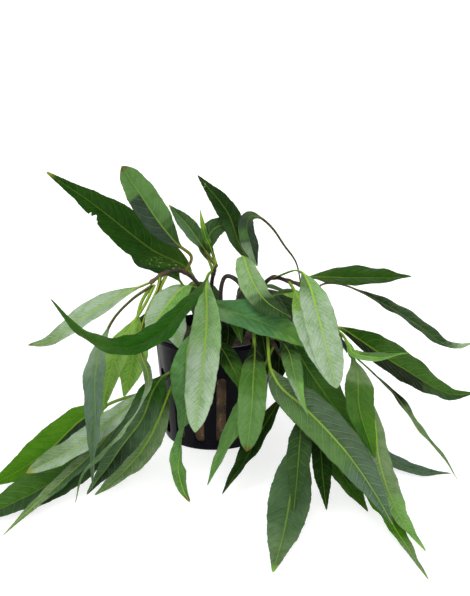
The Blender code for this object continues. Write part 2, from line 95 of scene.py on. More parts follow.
class Tone(Enum):
    """The colours that leaves and their stalks take."""

    DEEP = "deep"
    FOREST = "forest"
    PINE = "pine"
    INK = "ink"
    LEAF = "leaf"
    GRASS = "grass"
    CLOVER = "clover"
    LAWN = "lawn"
    MOSS = "moss"
    FERN = "fern"
    HERB = "herb"
    SEA = "sea"
    SLATE = "slate"
    SMOKE = "smoke"
    ASH = "ash"
    OLIVE = "olive"
    MEADOW = "meadow"
    MIST = "mist"
    SAGE = "sage"
    PALE = "pale"
    SILVER = "silver"
    LIME = "lime"
    STRAW = "straw"
    BRONZE = "bronze"
    BARK = "bark"
    ROSE = "rose"


def light_of(channel: int) -> float:
    """Turns one channel of a screen colour, from 0 to 255, into an amount of light from 0 to 1."""
    share = channel / 255.0
    return share / 12.92 if share <= 0.04045 else ((share + 0.055) / 1.055) ** 2.4


def linear(red: int, green: int, blue: int) -> Rgb:
    """Returns a screen colour, its channels from 0 to 255, as three amounts of light."""
    return light_of(red), light_of(green), light_of(blue)


def blend(first: Rgb, second: Rgb, share: float) -> Rgb:
    """Returns a colour between two others, share of the way to the second."""
    return tuple(a + (b - a) * share for a, b in zip(first, second))


def ease(value: float, low: float, high: float) -> float:
    """Returns 0 below low, 1 above high and a smooth rise between them."""
    share = max(0.0, min(1.0, (value - low) / (high - low)))
    return share * share * (3.0 - 2.0 * share)


# Materials

# Sockets that Blender tells apart by number: those of a colour mix, the results of an attribute, and the
# upright one of a place's three coordinates.
MIX_SHARE = 0
MIX_FIRST = 6
MIX_SECOND = 7
MIX_RESULT = 2
ATTRIBUTE_COLOUR = 0
ATTRIBUTE_NUMBER = 2
UPRIGHT = 2


class Wire:
    """A value that changes over a surface, carried by one socket of a material's nodes."""

    def __init__(self, recipe: "Recipe", socket: bpy.types.NodeSocket) -> None:
        """Keeps the material's recipe and the socket that the value comes out of."""
        self.recipe = recipe
        self.socket = socket

    def _maths(self, operation: str, *values: "Wire | float") -> "Wire":
        """Returns the result of one Math node."""
        return self.recipe.node("ShaderNodeMath", {"operation": operation}, dict(enumerate(values)))

    def __add__(self, other: "Wire | float") -> "Wire":
        """Returns this value plus another."""
        return self._maths("ADD", self, other)

    __radd__ = __add__

    def __sub__(self, other: "Wire | float") -> "Wire":
        """Returns this value less another."""
        return self._maths("SUBTRACT", self, other)

    def __rsub__(self, other: float) -> "Wire":
        """Returns a number less this value."""
        return self._maths("SUBTRACT", other, self)

    def __mul__(self, other: "Wire | float") -> "Wire":
        """Returns this value times another."""
        return self._maths("MULTIPLY", self, other)

    def __truediv__(self, other: "Wire | float") -> "Wire":
        """Returns this value divided by another."""
        return self._maths("DIVIDE", self, other)

    def __pow__(self, other: "Wire | float") -> "Wire":
        """Returns this value raised to a power."""
        return self._maths("POWER", self, other)

    def __abs__(self) -> "Wire":
        """Returns the size of this value without its sign."""
        return self._maths("ABSOLUTE", self)

    def above(self, limit: float) -> "Wire":
        """Returns 1 where this value is above a limit and 0 elsewhere."""
        return self._maths("GREATER_THAN", self, limit)

    def fraction(self) -> "Wire":
        """Returns the part of this value after its whole number."""
        return self._maths("FRACT", self)

    def ease(self, low: "Wire | float", high: "Wire | float") -> "Wire":
        """Returns 0 at low, 1 at high and a smooth rise between them."""
        inputs = {"Value": self, "From Min": low, "From Max": high}
        return self.recipe.node("ShaderNodeMapRange", {"interpolation_type": "SMOOTHSTEP"}, inputs)

    def times(self, shares: Rgb) -> "Wire":
        """Returns this colour with its red, green and blue each multiplied by a number."""
        return self.recipe.node("ShaderNodeVectorMath", {"operation": "MULTIPLY"}, {0: self, 1: shares})

    def to(self, other: "Wire | Rgb", share: "Wire | float") -> "Wire":
        """Mixes this colour with another.

        Args:
            other: The other colour.
            share: How much of the other colour, from 0 to 1.

        Returns:
            The mixed colour.
        """
        settings = {"data_type": "RGBA", "clamp_factor": True}
        inputs = {MIX_SHARE: share, MIX_FIRST: self, MIX_SECOND: other}
        return self.recipe.node("ShaderNodeMix", settings, inputs, MIX_RESULT)


class Recipe:
    """The nodes of one material, which is made when the recipe is started."""

    def __init__(self, name: str) -> None:
        """Makes a material with its shader and the coordinates of the piece that wears it.

        Args:
            name: The material's name.
        """
        self.material = bpy.data.materials.new(name)
        self.material.use_nodes = True
        self.tree = self.material.node_tree
        self.shader = self.tree.nodes["Principled BSDF"]
        place = self.tree.nodes.new("ShaderNodeTexCoord")
        self.place = Wire(self, place.outputs["Object"])

    def node(self, kind: str, settings: dict, inputs: dict, output: int = 0) -> Wire:
        """Adds one node.

        Args:
            kind: The node's type.
            settings: The node's own properties.
            inputs: A value or a wire for each socket, by name or number.
            output: The number of the socket that the result comes out of.

        Returns:
            The node's result.
        """
        made = self.tree.nodes.new(kind)
        for key, value in settings.items():
            setattr(made, key, value)
        for key, value in inputs.items():
            self.feed(made.inputs[key], value)
        return Wire(self, made.outputs[output])

    def feed(self, socket: bpy.types.NodeSocket, value: "Wire | float | Rgb") -> None:
        """Links a wire to a socket, or sets the socket to a number or a colour.

        Args:
            socket: The socket.
            value: What goes into it.
        """
        if isinstance(value, Wire):
            self.tree.links.new(value.socket, socket)
        elif isinstance(value, tuple) and socket.type == "RGBA":
            socket.default_value = (*value, 1.0)
        else:
            socket.default_value = value

    def attribute(self, name: str, output: int = ATTRIBUTE_NUMBER) -> Wire:
        """Returns a number or a colour kept in the piece's own mesh."""
        return self.node("ShaderNodeAttribute", {"attribute_name": name}, {}, output)

    def plain(self, colour: Rgb) -> Wire:
        """Returns a colour that is the same all over, for others to be mixed into."""
        made = self.node("ShaderNodeRGB", {}, {})
        made.socket.default_value = (*colour, 1.0)
        return made

    def noise(
        self, scale: float, detail: float = 2.0, rough: float = 0.5, place: "Wire | None" = None
    ) -> Wire:
        """Returns soft random patches.

        Args:
            scale: How many patches there are in a metre.
            detail: How many finer layers lie over the first.
            rough: How strong the finer layers are.
            place: Where on the piece the pattern is read, by default its own coordinates.

        Returns:
            A value from 0 to 1.
        """
        inputs = {"Vector": place or self.place, "Scale": scale, "Detail": detail, "Roughness": rough}
        return self.node("ShaderNodeTexNoise", {}, inputs)

    def height(self) -> Wire:
        """Returns the height above the surface that the pot stands on, in metres."""
        return self.node("ShaderNodeSeparateXYZ", {}, {"Vector": self.place}, UPRIGHT)

    def upright_grain(self, share: float) -> Wire:
        """Returns the piece's own coordinates, in which patterns are drawn out upwards."""
        return self.node("ShaderNodeMapping", {}, {"Vector": self.place, "Scale": (1.0, 1.0, share)})

    def peak(self, value: Wire, width: float) -> Wire:
        """Returns narrow lines, one half way between each two whole numbers that a value passes."""
        return 1.0 - abs(value.fraction() - 0.5).ease(0.0, width)

    def finish(
        self, sockets: dict, height: "Wire | None" = None, depth: float = 0.0001
    ) -> bpy.types.Material:
        """Sets the shader's sockets and the relief.

        Args:
            sockets: A value or wire for each of the shader's sockets.
            height: The relief, from 0 to 1.
            depth: The relief's depth in metres.

        Returns:
            The finished material.
        """
        for key, value in sockets.items():
            self.feed(self.shader.inputs[key], value)
        if height is not None:
            relief = self.node("ShaderNodeBump", {}, {"Strength": 1.0, "Distance": depth, "Height": height})
            self.feed(self.shader.inputs["Normal"], relief)
        return self.material


@dataclass(frozen=True)
class LeafFinish:
    """The colours of a leaf's two faces, and how strongly its midrib and veins show.

    face is the colour of the side that is turned up and back that of the other one. Where underside_out is
    set, the side that is turned up is the leaf's own underside.
    """

    face: Rgb
    back: Rgb
    rib: float
    vein: float
    underside_out: bool = False


FINISHES = {
    Tone.DEEP: LeafFinish(linear(34, 76, 4), linear(84, 122, 70), 0.26, 0.16),
    Tone.FOREST: LeafFinish(linear(26, 57, 6), linear(72, 108, 60), 0.25, 0.12),
    Tone.PINE: LeafFinish(linear(17, 36, 2), linear(66, 100, 54), 0.20, 0.10),
    Tone.INK: LeafFinish(linear(41, 60, 39), linear(76, 108, 84), 0.30, 0.15),
    Tone.LEAF: LeafFinish(linear(44, 86, 2), linear(96, 134, 76), 0.35, 0.12),
    Tone.GRASS: LeafFinish(linear(37, 95, 0), linear(92, 138, 66), 0.12, 0.08),
    Tone.CLOVER: LeafFinish(linear(76, 118, 42), linear(108, 148, 84), 0.40, 0.30),
    Tone.LAWN: LeafFinish(linear(80, 132, 12), linear(112, 156, 70), 0.40, 0.20),
    Tone.MOSS: LeafFinish(linear(102, 140, 78), linear(116, 152, 92), 0.42, 0.35),
    Tone.FERN: LeafFinish(linear(58, 88, 46), linear(104, 138, 84), 0.38, 0.35),
    Tone.HERB: LeafFinish(linear(88, 118, 80), linear(112, 146, 92), 0.55, 0.35),
    Tone.SEA: LeafFinish(linear(94, 144, 90), linear(110, 150, 96), 0.30, 0.15),
    Tone.SLATE: LeafFinish(linear(102, 130, 106), linear(112, 144, 106), 0.35, 0.30),
    Tone.SMOKE: LeafFinish(linear(84, 106, 80), linear(104, 136, 90), 1.00, 0.70),
    Tone.ASH: LeafFinish(linear(62, 80, 64), linear(104, 122, 98), 0.20, 0.20),
    # OLIVE's face is lighter than a leaf's own colour would be: painted light, standing in for light that
    # shines through leaves in shade.
    Tone.OLIVE: LeafFinish(linear(150, 190, 94), linear(78, 126, 36), 0.70, 0.70, True),
    Tone.MEADOW: LeafFinish(linear(136, 184, 96), linear(60, 112, 34), 0.85, 0.55, True),
    Tone.MIST: LeafFinish(linear(148, 180, 126), linear(64, 114, 40), 0.80, 0.55, True),
    Tone.SAGE: LeafFinish(linear(134, 158, 112), linear(62, 108, 38), 0.85, 0.70, True),
    Tone.PALE: LeafFinish(linear(170, 191, 160), linear(64, 114, 38), 0.95, 0.60, True),
    Tone.SILVER: LeafFinish(linear(196, 217, 186), linear(68, 114, 46), 0.70, 0.50, True),
    Tone.LIME: LeafFinish(linear(126, 156, 56), linear(128, 158, 66), 0.60, 0.20),
    Tone.STRAW: LeafFinish(linear(160, 160, 70), linear(150, 150, 80), 0.50, 0.20),
    Tone.BRONZE: LeafFinish(linear(112, 92, 50), linear(116, 98, 60), 0.50, 0.20),
    Tone.BARK: LeafFinish(linear(78, 62, 48), linear(78, 62, 48), 0.40, 0.20),
    Tone.ROSE: LeafFinish(linear(150, 116, 92), linear(150, 116, 92), 0.40, 0.20),
}


@dataclass(frozen=True)
class Veins:
    """How strongly each part of a leaf's veining shows, from 0 to 1 over the leaf.

    side are the side veins, quilt the broad band round each of them, which the relief sinks and painted shade
    darkens, fine the thinner veins between them and net the mesh of the finest ones. fade is 0 on the midrib
    and at the edge, where all of them end.
    """

    side: Wire
    quilt: Wire
    fine: Wire
    net: Wire
    fade: Wire


@dataclass(frozen=True)
class LeafSkin:
    """The finish of every leaf: satin, veined and a little mottled, with its tints kept in its mesh. Shade is
    painted beside the midrib and round the side veins, and glints where drops lie.

    Spacings are in millimetres, widths and the veins' drift in spacings, and scales in patches to a metre.
    Slant and curve are how far the side veins lean, in millimetres along the leaf for each millimetre out
    from the midrib, and for its square. The fields that end in shares multiply the leaf's own red, green
    and blue.
    """

    patch_scale: float = 240.0
    grain_scale: float = 2400.0
    drop_scale: float = 980.0
    drift_scale: float = 70.0
    vein_spacing: float = 4.8
    vein_width: float = 0.095
    vein_slant: float = 0.85
    vein_curve: float = 0.06
    vein_drift: float = 1.5
    halves_apart: float = 0.46
    fine_spacing: float = 1.6
    fine_width: float = 0.22
    net_scale: float = 1050.0
    net_width: float = 0.16
    relief: float = 0.00022
    specular: float = 0.11
    coat_roughness: float = 0.08
    rib: Rgb = linear(166, 198, 72)
    vein: Rgb = linear(172, 194, 142)
    light: Rgb = linear(130, 178, 64)
    edge: Rgb = linear(50, 64, 30)
    painted_drop_glint: Rgb = linear(166, 196, 116)
    hollow_shares: Rgb = (0.42, 0.62, 0.30)
    bloom_shares: Rgb = (1.30, 1.10, 1.65)
    painted_rib_shade_shares: Rgb = (0.42, 0.62, 0.28)
    painted_quilt_shade_shares: Rgb = (0.40, 0.60, 0.28)
    vein_shares: Rgb = (1.75, 1.5, 1.85)
    net_shares: Rgb = (1.5, 1.35, 1.6)
    cell_shares: Rgb = (0.5, 0.7, 0.4)

    def make(self) -> bpy.types.Material:
        """Returns the material."""
        recipe = Recipe("leaf_skin")
        under = recipe.attribute("under")
        wet = recipe.attribute("wet")
        patches = recipe.noise(self.patch_scale, 3.0, 0.6)
        grain = recipe.noise(self.grain_scale)
        veins = self.veins(recipe)
        drops = recipe.noise(self.drop_scale, 1.0).ease(0.64, 0.72) * wet
        raised = veins.side * (under * 1.5 - 0.8) + veins.quilt * (under * 0.6 - 0.9)
        raised = raised + veins.net * (under * 0.5 - 0.2)
        sockets = {
            # Painted glints: light yellow-green spots are painted into the colour where drops lie, under
            # their clear coat.
            "Base Color": self.colour(recipe, veins, patches, grain).to(self.painted_drop_glint, drops * 0.75),
            "Roughness": 0.40 + patches * 0.14 + under * 0.14 - wet * 0.12,
            "Coat Weight": drops,
            "Coat Roughness": self.coat_roughness,
            "Specular IOR Level": self.specular,
        }
        return recipe.finish(sockets, raised * veins.fade + grain * 0.2, self.relief)

    def veins(self, recipe: Recipe) -> Veins:
        """Works out where the veins lie.

        Args:
            recipe: The leaf's material.

        Returns:
            The veins.
        """
        side = recipe.attribute("side")
        run = recipe.attribute("run")
        across = abs(recipe.attribute("across"))
        spread = abs(side)
        lean = spread * self.vein_slant + spread * spread * self.vein_curve
        drift = recipe.noise(self.drift_scale, 1.0) * self.vein_drift
        offset = side.above(0.0) * self.halves_apart + drift
        beat = (run - lean) / self.vein_spacing + offset
        fine_beat = (run - lean * 1.2) / self.fine_spacing + offset * 2.3
        inputs = {"Vector": recipe.place, "Scale": self.net_scale}
        cells = recipe.node("ShaderNodeTexVoronoi", {"feature": "DISTANCE_TO_EDGE"}, inputs)
        return Veins(
            side=recipe.peak(beat, self.vein_width),
            quilt=recipe.peak(beat, 0.5),
            fine=recipe.peak(fine_beat, self.fine_width),
            net=1.0 - cells.ease(0.0, self.net_width),
            fade=(1.0 - across**5.0) * spread.ease(0.1, 0.9),
        )

    def colour(self, recipe: Recipe, veins: Veins, patches: Wire, grain: Wire) -> Wire:
        """Mixes the leaf's own tint with its mottling, painted shade beside the midrib, its veins with
        painted shade round them, its edge and its midrib, in that order.

        Args:
            recipe: The leaf's material.
            veins: The leaf's veins.
            patches: Broad soft patches, from 0 to 1.
            grain: Fine patches, from 0 to 1.

        Returns:
            The colour of the dry leaf.
        """
        tint = recipe.attribute("tint", ATTRIBUTE_COLOUR)
        across = abs(recipe.attribute("across"))
        spread = abs(recipe.attribute("side"))
        under = recipe.attribute("under")
        rib_width = recipe.attribute("rib_width")
        veined = veins.fade * recipe.attribute("vein")
        colour = tint.to(tint.times(self.hollow_shares), patches.ease(0.42, 0.72) * (0.46 + under * 0.18))
        colour = colour.to(tint.times(self.bloom_shares), patches.ease(0.55, 0.25) * under * 0.5)
        colour = colour.to(self.light, patches.ease(0.5, 0.2) * 0.08)
        # Painted shade: the blade is darkened on each side of the midrib.
        colour = colour.to(tint.times(self.painted_rib_shade_shares), (1.0 - spread.ease(0.3, 2.4)) * 0.34)
        # Painted shade: the broad band round each side vein, which the relief sinks, is darkened.
        colour = colour.to(tint.times(self.painted_quilt_shade_shares), veins.quilt * veined * (0.38 + under * 0.20))
        colour = colour.to(tint.times(self.vein_shares), veins.side * veined * (0.35 + under * 0.55))
        colour = colour.to(self.vein, veins.side * veined * (0.45 - under * 0.30))
        colour = colour.to(tint.times(self.net_shares), (veins.fine * 0.16 + veins.net * 0.34) * veined)
        cells = (1.0 - veins.net) * grain.ease(0.4, 0.7) * veins.fade
        colour = colour.to(tint.times(self.cell_shares), cells * 0.22)
        colour = colour.to(self.edge, across.ease(0.94, 1.0) * 0.4)
        midrib = 1.0 - spread.ease(rib_width * 0.55, rib_width)
        return colour.to(self.rib, midrib * recipe.attribute("rib"))


@dataclass(frozen=True)
class StemSkin:
    """The finish of the stems: dark and satin, with a fine grain, reddish at the joints."""

    joint: Rgb = linear(84, 52, 40)
    speck: Rgb = linear(128, 116, 84)
    shadow: Rgb = linear(16, 12, 12)
    patch_scale: float = 320.0
    grain_scale: float = 2600.0
    speck_scale: float = 1300.0
    specular: float = 0.16
    relief: float = 0.00014

    def make(self) -> bpy.types.Material:
        """Returns the material."""
        recipe = Recipe("stem_skin")
        patches = recipe.noise(self.patch_scale, 3.0, 0.6)
        grain = recipe.noise(self.grain_scale)
        specks = recipe.noise(self.speck_scale, 1.0).ease(0.62, 0.7)
        tint = recipe.attribute("tint", ATTRIBUTE_COLOUR)
        colour = tint.to(self.joint, recipe.attribute("joint") * patches.ease(0.2, 0.7) * 0.6)
        colour = colour.to(self.speck, specks * 0.22)
        colour = colour.to(self.shadow, patches.ease(0.5, 0.8) * 0.4)
        rough = 0.36 + patches * 0.2
        sockets = {"Base Color": colour, "Roughness": rough, "Specular IOR Level": self.specular}
        return recipe.finish(sockets, grain * 0.5 + patches * 0.5, self.relief)


@dataclass(frozen=True)
class PotPlastic:
    """The finish of the pot: near-black moulded plastic with a slight sheen and faint scuffs."""

    body: Rgb = linear(9, 9, 15)
    scuff: Rgb = linear(86, 86, 98)
    shadow: Rgb = linear(4, 4, 8)
    patch_scale: float = 140.0
    grain_scale: float = 3200.0
    scratch_scale: float = 900.0
    scratch_stretch: float = 0.12
    specular: float = 0.04
    relief: float = 0.00006

    def make(self) -> bpy.types.Material:
        """Returns the material."""
        recipe = Recipe("pot_plastic")
        patches = recipe.noise(self.patch_scale, 3.0, 0.6)
        grain = recipe.noise(self.grain_scale)
        upwards = recipe.upright_grain(self.scratch_stretch)
        scratches = recipe.noise(self.scratch_scale, 2.0, 0.6, upwards)
        colour = recipe.plain(self.body).to(self.scuff, scratches.ease(0.62, 0.78) * 0.03)
        colour = colour.to(self.shadow, patches.ease(0.45, 0.7) * 0.5)
        rough = 0.16 + patches * 0.10 + scratches * 0.08
        sockets = {"Base Color": colour, "Roughness": rough, "Specular IOR Level": self.specular}
        return recipe.finish(sockets, grain * 0.6 + scratches * 0.4, self.relief)


@dataclass(frozen=True)
class MediumFibre:
    """The finish of the growing medium: rough brown fibre, darker in moist patches, with painted shade
    darkening its top.
    """

    body: Rgb = linear(84, 64, 44)
    damp_and_shade: Rgb = linear(34, 25, 18)
    straw: Rgb = linear(136, 110, 74)
    patch_scale: float = 160.0
    fibre_scale: float = 700.0
    fibre_stretch: float = 0.28
    grain_scale: float = 1900.0
    roughness: float = 0.92
    relief: float = 0.0006
    painted_shade_from: float = 0.0445
    painted_shade_above: float = 0.0458

    def make(self, name: str = "growing_medium", lift: float = 0.0) -> bpy.types.Material:
        """Makes the material.

        Args:
            name: The material's name.
            lift: How much lighter it is, from 0 to 1.

        Returns:
            The material.
        """
        recipe = Recipe(name)
        patches = recipe.noise(self.patch_scale, 4.0, 0.65)
        fibre = recipe.noise(self.fibre_scale, 3.0, 0.7, recipe.upright_grain(self.fibre_stretch))
        grain = recipe.noise(self.grain_scale, 3.0, 0.6)
        body = recipe.plain(blend(self.body, self.straw, lift))
        colour = body.to(self.damp_and_shade, patches.ease(0.42, 0.66) * 0.75)
        colour = colour.to(self.straw, fibre.ease(0.54, 0.70) * 0.6)
        colour = colour.to(self.damp_and_shade, grain.ease(0.58, 0.70) * 0.5)
        # Painted shade: the top of the plug is darkened, as if shaded by the leaves above it.
        colour = colour.to(self.damp_and_shade, recipe.height().ease(self.painted_shade_from, self.painted_shade_above) * 0.9)
        sockets = {"Base Color": colour, "Roughness": self.roughness}
        return recipe.finish(sockets, fibre * 0.6 + grain * 0.4, self.relief)


# Lines through space

# SPAN_STEPS is how many short steps a line takes from one of its given points to the next, and
# DIRECTION_STEPS is how many times the reach over which a direction is measured fits into the line.
SPAN_STEPS = 24
DIRECTION_STEPS = 110.0


@dataclass
class Path:
    """A smooth line through space, read by the distance from its start in metres."""

    points: list[Vector]
    marks: list[float] = field(default_factory=list)

    def __post_init__(self) -> None:
        """Measures how far each point is from the start."""
        self.marks = [0.0]
        for first, second in zip(self.points, self.points[1:]):
            self.marks.append(self.marks[-1] + (second - first).length)

    @classmethod
    def through(cls, places: tuple[Point, ...]) -> "Path":
        """Makes a smooth line through points given in millimetres.

        Args:
            places: The points, from the line's start to its end.

        Returns:
            The line.
        """
        knots = [Vector(place) * MM for place in places]
        last = len(knots) - 1
        line = []
        for step in range(SPAN_STEPS * last + 1):
            index = min(step // SPAN_STEPS, last - 1)
            part = step / SPAN_STEPS - index
            here, there = knots[index], knots[index + 1]
            before = knots[index - 1] if index > 0 else here * 2.0 - there
            after = knots[index + 2] if index + 2 <= last else there * 2.0 - here
            bend = (before * 2.0 - here * 5.0 + there * 4.0 - after) * part**2
            turn = (here * 3.0 - before - there * 3.0 + after) * part**3
            line.append(0.5 * (here * 2.0 + (there - before) * part + bend + turn))
        return cls(line)

    @property
    def length(self) -> float:
        """The line's length in metres."""
        return self.marks[-1]

    def at(self, distance: float) -> Vector:
        """Finds a point on the line.

        Args:
            distance: How far the point is from the start, along the line.

        Returns:
            The point.
        """
        wanted = max(0.0, min(self.length, distance))
        low, high = 0, len(self.marks) - 1
        while high - low > 1:
            middle = (low + high) // 2
            low, high = (middle, high) if self.marks[middle] <= wanted else (low, middle)
        part = (wanted - self.marks[low]) / max(self.marks[high] - self.marks[low], 1e-9)
        return self.points[low].lerp(self.points[high], part)

    def direction(self, distance: float) -> Vector:
        """Returns the direction in which the line runs at a distance from its start."""
        reach = self.length / DIRECTION_STEPS
        return (self.at(distance + reach) - self.at(distance - reach)).normalized()

    def nearest(self, point: Vector) -> tuple[float, float]:
        """Finds the place on the line that is nearest to a point.

        Args:
            point: Any point in space.

        Returns:
            The place's distance from the line's start, and how far the point is from it.
        """
        best = (0.0, math.inf)
        for mark, first, second in zip(self.marks, self.points, self.points[1:]):
            run = second - first
            part = max(0.0, min(1.0, (point - first).dot(run) / run.length_squared))
            gap = (point - first - run * part).length
            if gap < best[1]:
                best = (mark + run.length * part, gap)
        return best

    def frames(self, count: int) -> list[tuple[Vector, Vector, Vector]]:
        """Finds evenly spaced places on the line.

        Args:
            count: How many places there are.

        Returns:
            The places, each with two directions square to the line, which never twist round it.
        """
        spots = []
        sideways = self.direction(0.0).orthogonal().normalized()
        for step in range(count):
            distance = self.length * step / (count - 1)
            along = self.direction(distance)
            sideways = (sideways - along * sideways.dot(along)).normalized()
            spots.append((self.at(distance), sideways, along.cross(sideways)))
        return spots


# Building


def piece_from(name: str, shape: bmesh.types.BMesh, *materials: bpy.types.Material) -> bpy.types.Object:
    """Makes a smooth-shaded piece from a shape and gives it its materials.

    Args:
        name: The piece's name.
        shape: The shape, which is used up.
        *materials: The piece's materials, in the order of their numbers.

    Returns:
        The new piece.
    """
    mesh = bpy.data.meshes.new(name)
    shape.to_mesh(mesh)
    shape.free()
    mesh.shade_smooth()
    piece = bpy.data.objects.new(name, mesh)
    bpy.context.scene.collection.objects.link(piece)
    for material in materials:
        mesh.materials.append(material)
    return piece


def settle(piece: bpy.types.Object, slot: Slot, *nodes: str) -> bpy.types.Object:
    """Lets a piece move with the plant and stand for some solids.

    Args:
        piece: The piece.
        slot: The material slot, which is not used.
        *nodes: The solids that the piece takes the place of.

    Returns:
        The same piece.
    """
    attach(piece, "root")
    if nodes:
        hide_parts(*nodes)
    return piece


def turned(profile: list[tuple[float, float]], steps: int) -> bmesh.types.BMesh:
    """Turns an outline once round the upright axis.

    Args:
        profile: The outline's corners, each a radius and a height in metres.
        steps: How many flat steps go round.

    Returns:
        The turned shape.
    """
    shape = bmesh.new()
    corners = [shape.verts.new((radius, 0.0, height)) for radius, height in profile]
    edges = [shape.edges.new(pair) for pair in zip(corners, corners[1:])]
    bmesh.ops.spin(
        shape, geom=corners + edges, cent=(0.0, 0.0, 0.0), axis=(0.0, 0.0, 1.0), angle=math.tau,
        steps=steps, use_merge=True,
    )
    bmesh.ops.remove_doubles(shape, verts=shape.verts, dist=MERGE_DISTANCE)
    bmesh.ops.recalc_face_normals(shape, faces=shape.faces)
    return shape


@dataclass(frozen=True)
class Tear:
    """A torn place in a leaf's edge: its side, its start and end along the blade, and its depth."""

    side: int
    start: float
    end: float
    depth: float


@dataclass(frozen=True)
class StainAndShade:
    """A place of another colour on a leaf, on one half of it or, with side 0, on both. Most are the leaf's
    own colour; some, noted at their leaf, are painted shade.
    """

    tone: Tone
    start: float
    end: float
    side: int = 0
    strength: float = 1.0
    border: float = 0.09


@dataclass(frozen=True)
class Drops:
    """Where drops lie on a leaf, on one half of it or, with side 0, on both. Their glints are painted into
    the leaf's colour as light spots.
    """

    start: float
    end: float
    side: int = 0
    border: float = 0.04


@dataclass(frozen=True)
class LeafPlan:
    """One leaf: where it grows, the line that it follows in millimetres, its size and its looks.

    width is the blade's in millimetres, stalk is the share of the length before the blade, and roll turns
    the face about the leaf's own line, at the base and at the tip, in degrees. heading is the way that the
    leaf points, seen from above, where its line alone doesn't tell. fold and wave are how far the halves
    rise from the midrib and how much the edge swings.
    """

    name: str
    stem: str
    points: tuple[Point, ...]
    slot: Slot
    tone: Tone
    width: float
    stalk: float
    roll: tuple[float, float] = (0.0, 0.0)
    heading: tuple[float, float] | None = None
    outline: Outline = Outline.POINTED
    stalk_tone: Tone = Tone.LIME
    tip: Tone | None = None
    wave: float = 1.0
    fold: float = 0.16
    brightness: float = 1.0
    wet: Drops | None = None
    tears: tuple[Tear, ...] = ()
    stains_and_shade: tuple[StainAndShade, ...] = ()


@dataclass
class Row:
    """One line of points across a leaf.

    centre is on the leaf's own line, level points across the leaf and up away from its face. half is half
    the leaf's width, run the distance from the start of the blade, and place the share of the blade.
    """

    centre: Vector
    level: Vector
    up: Vector
    half: float
    run: float
    place: float


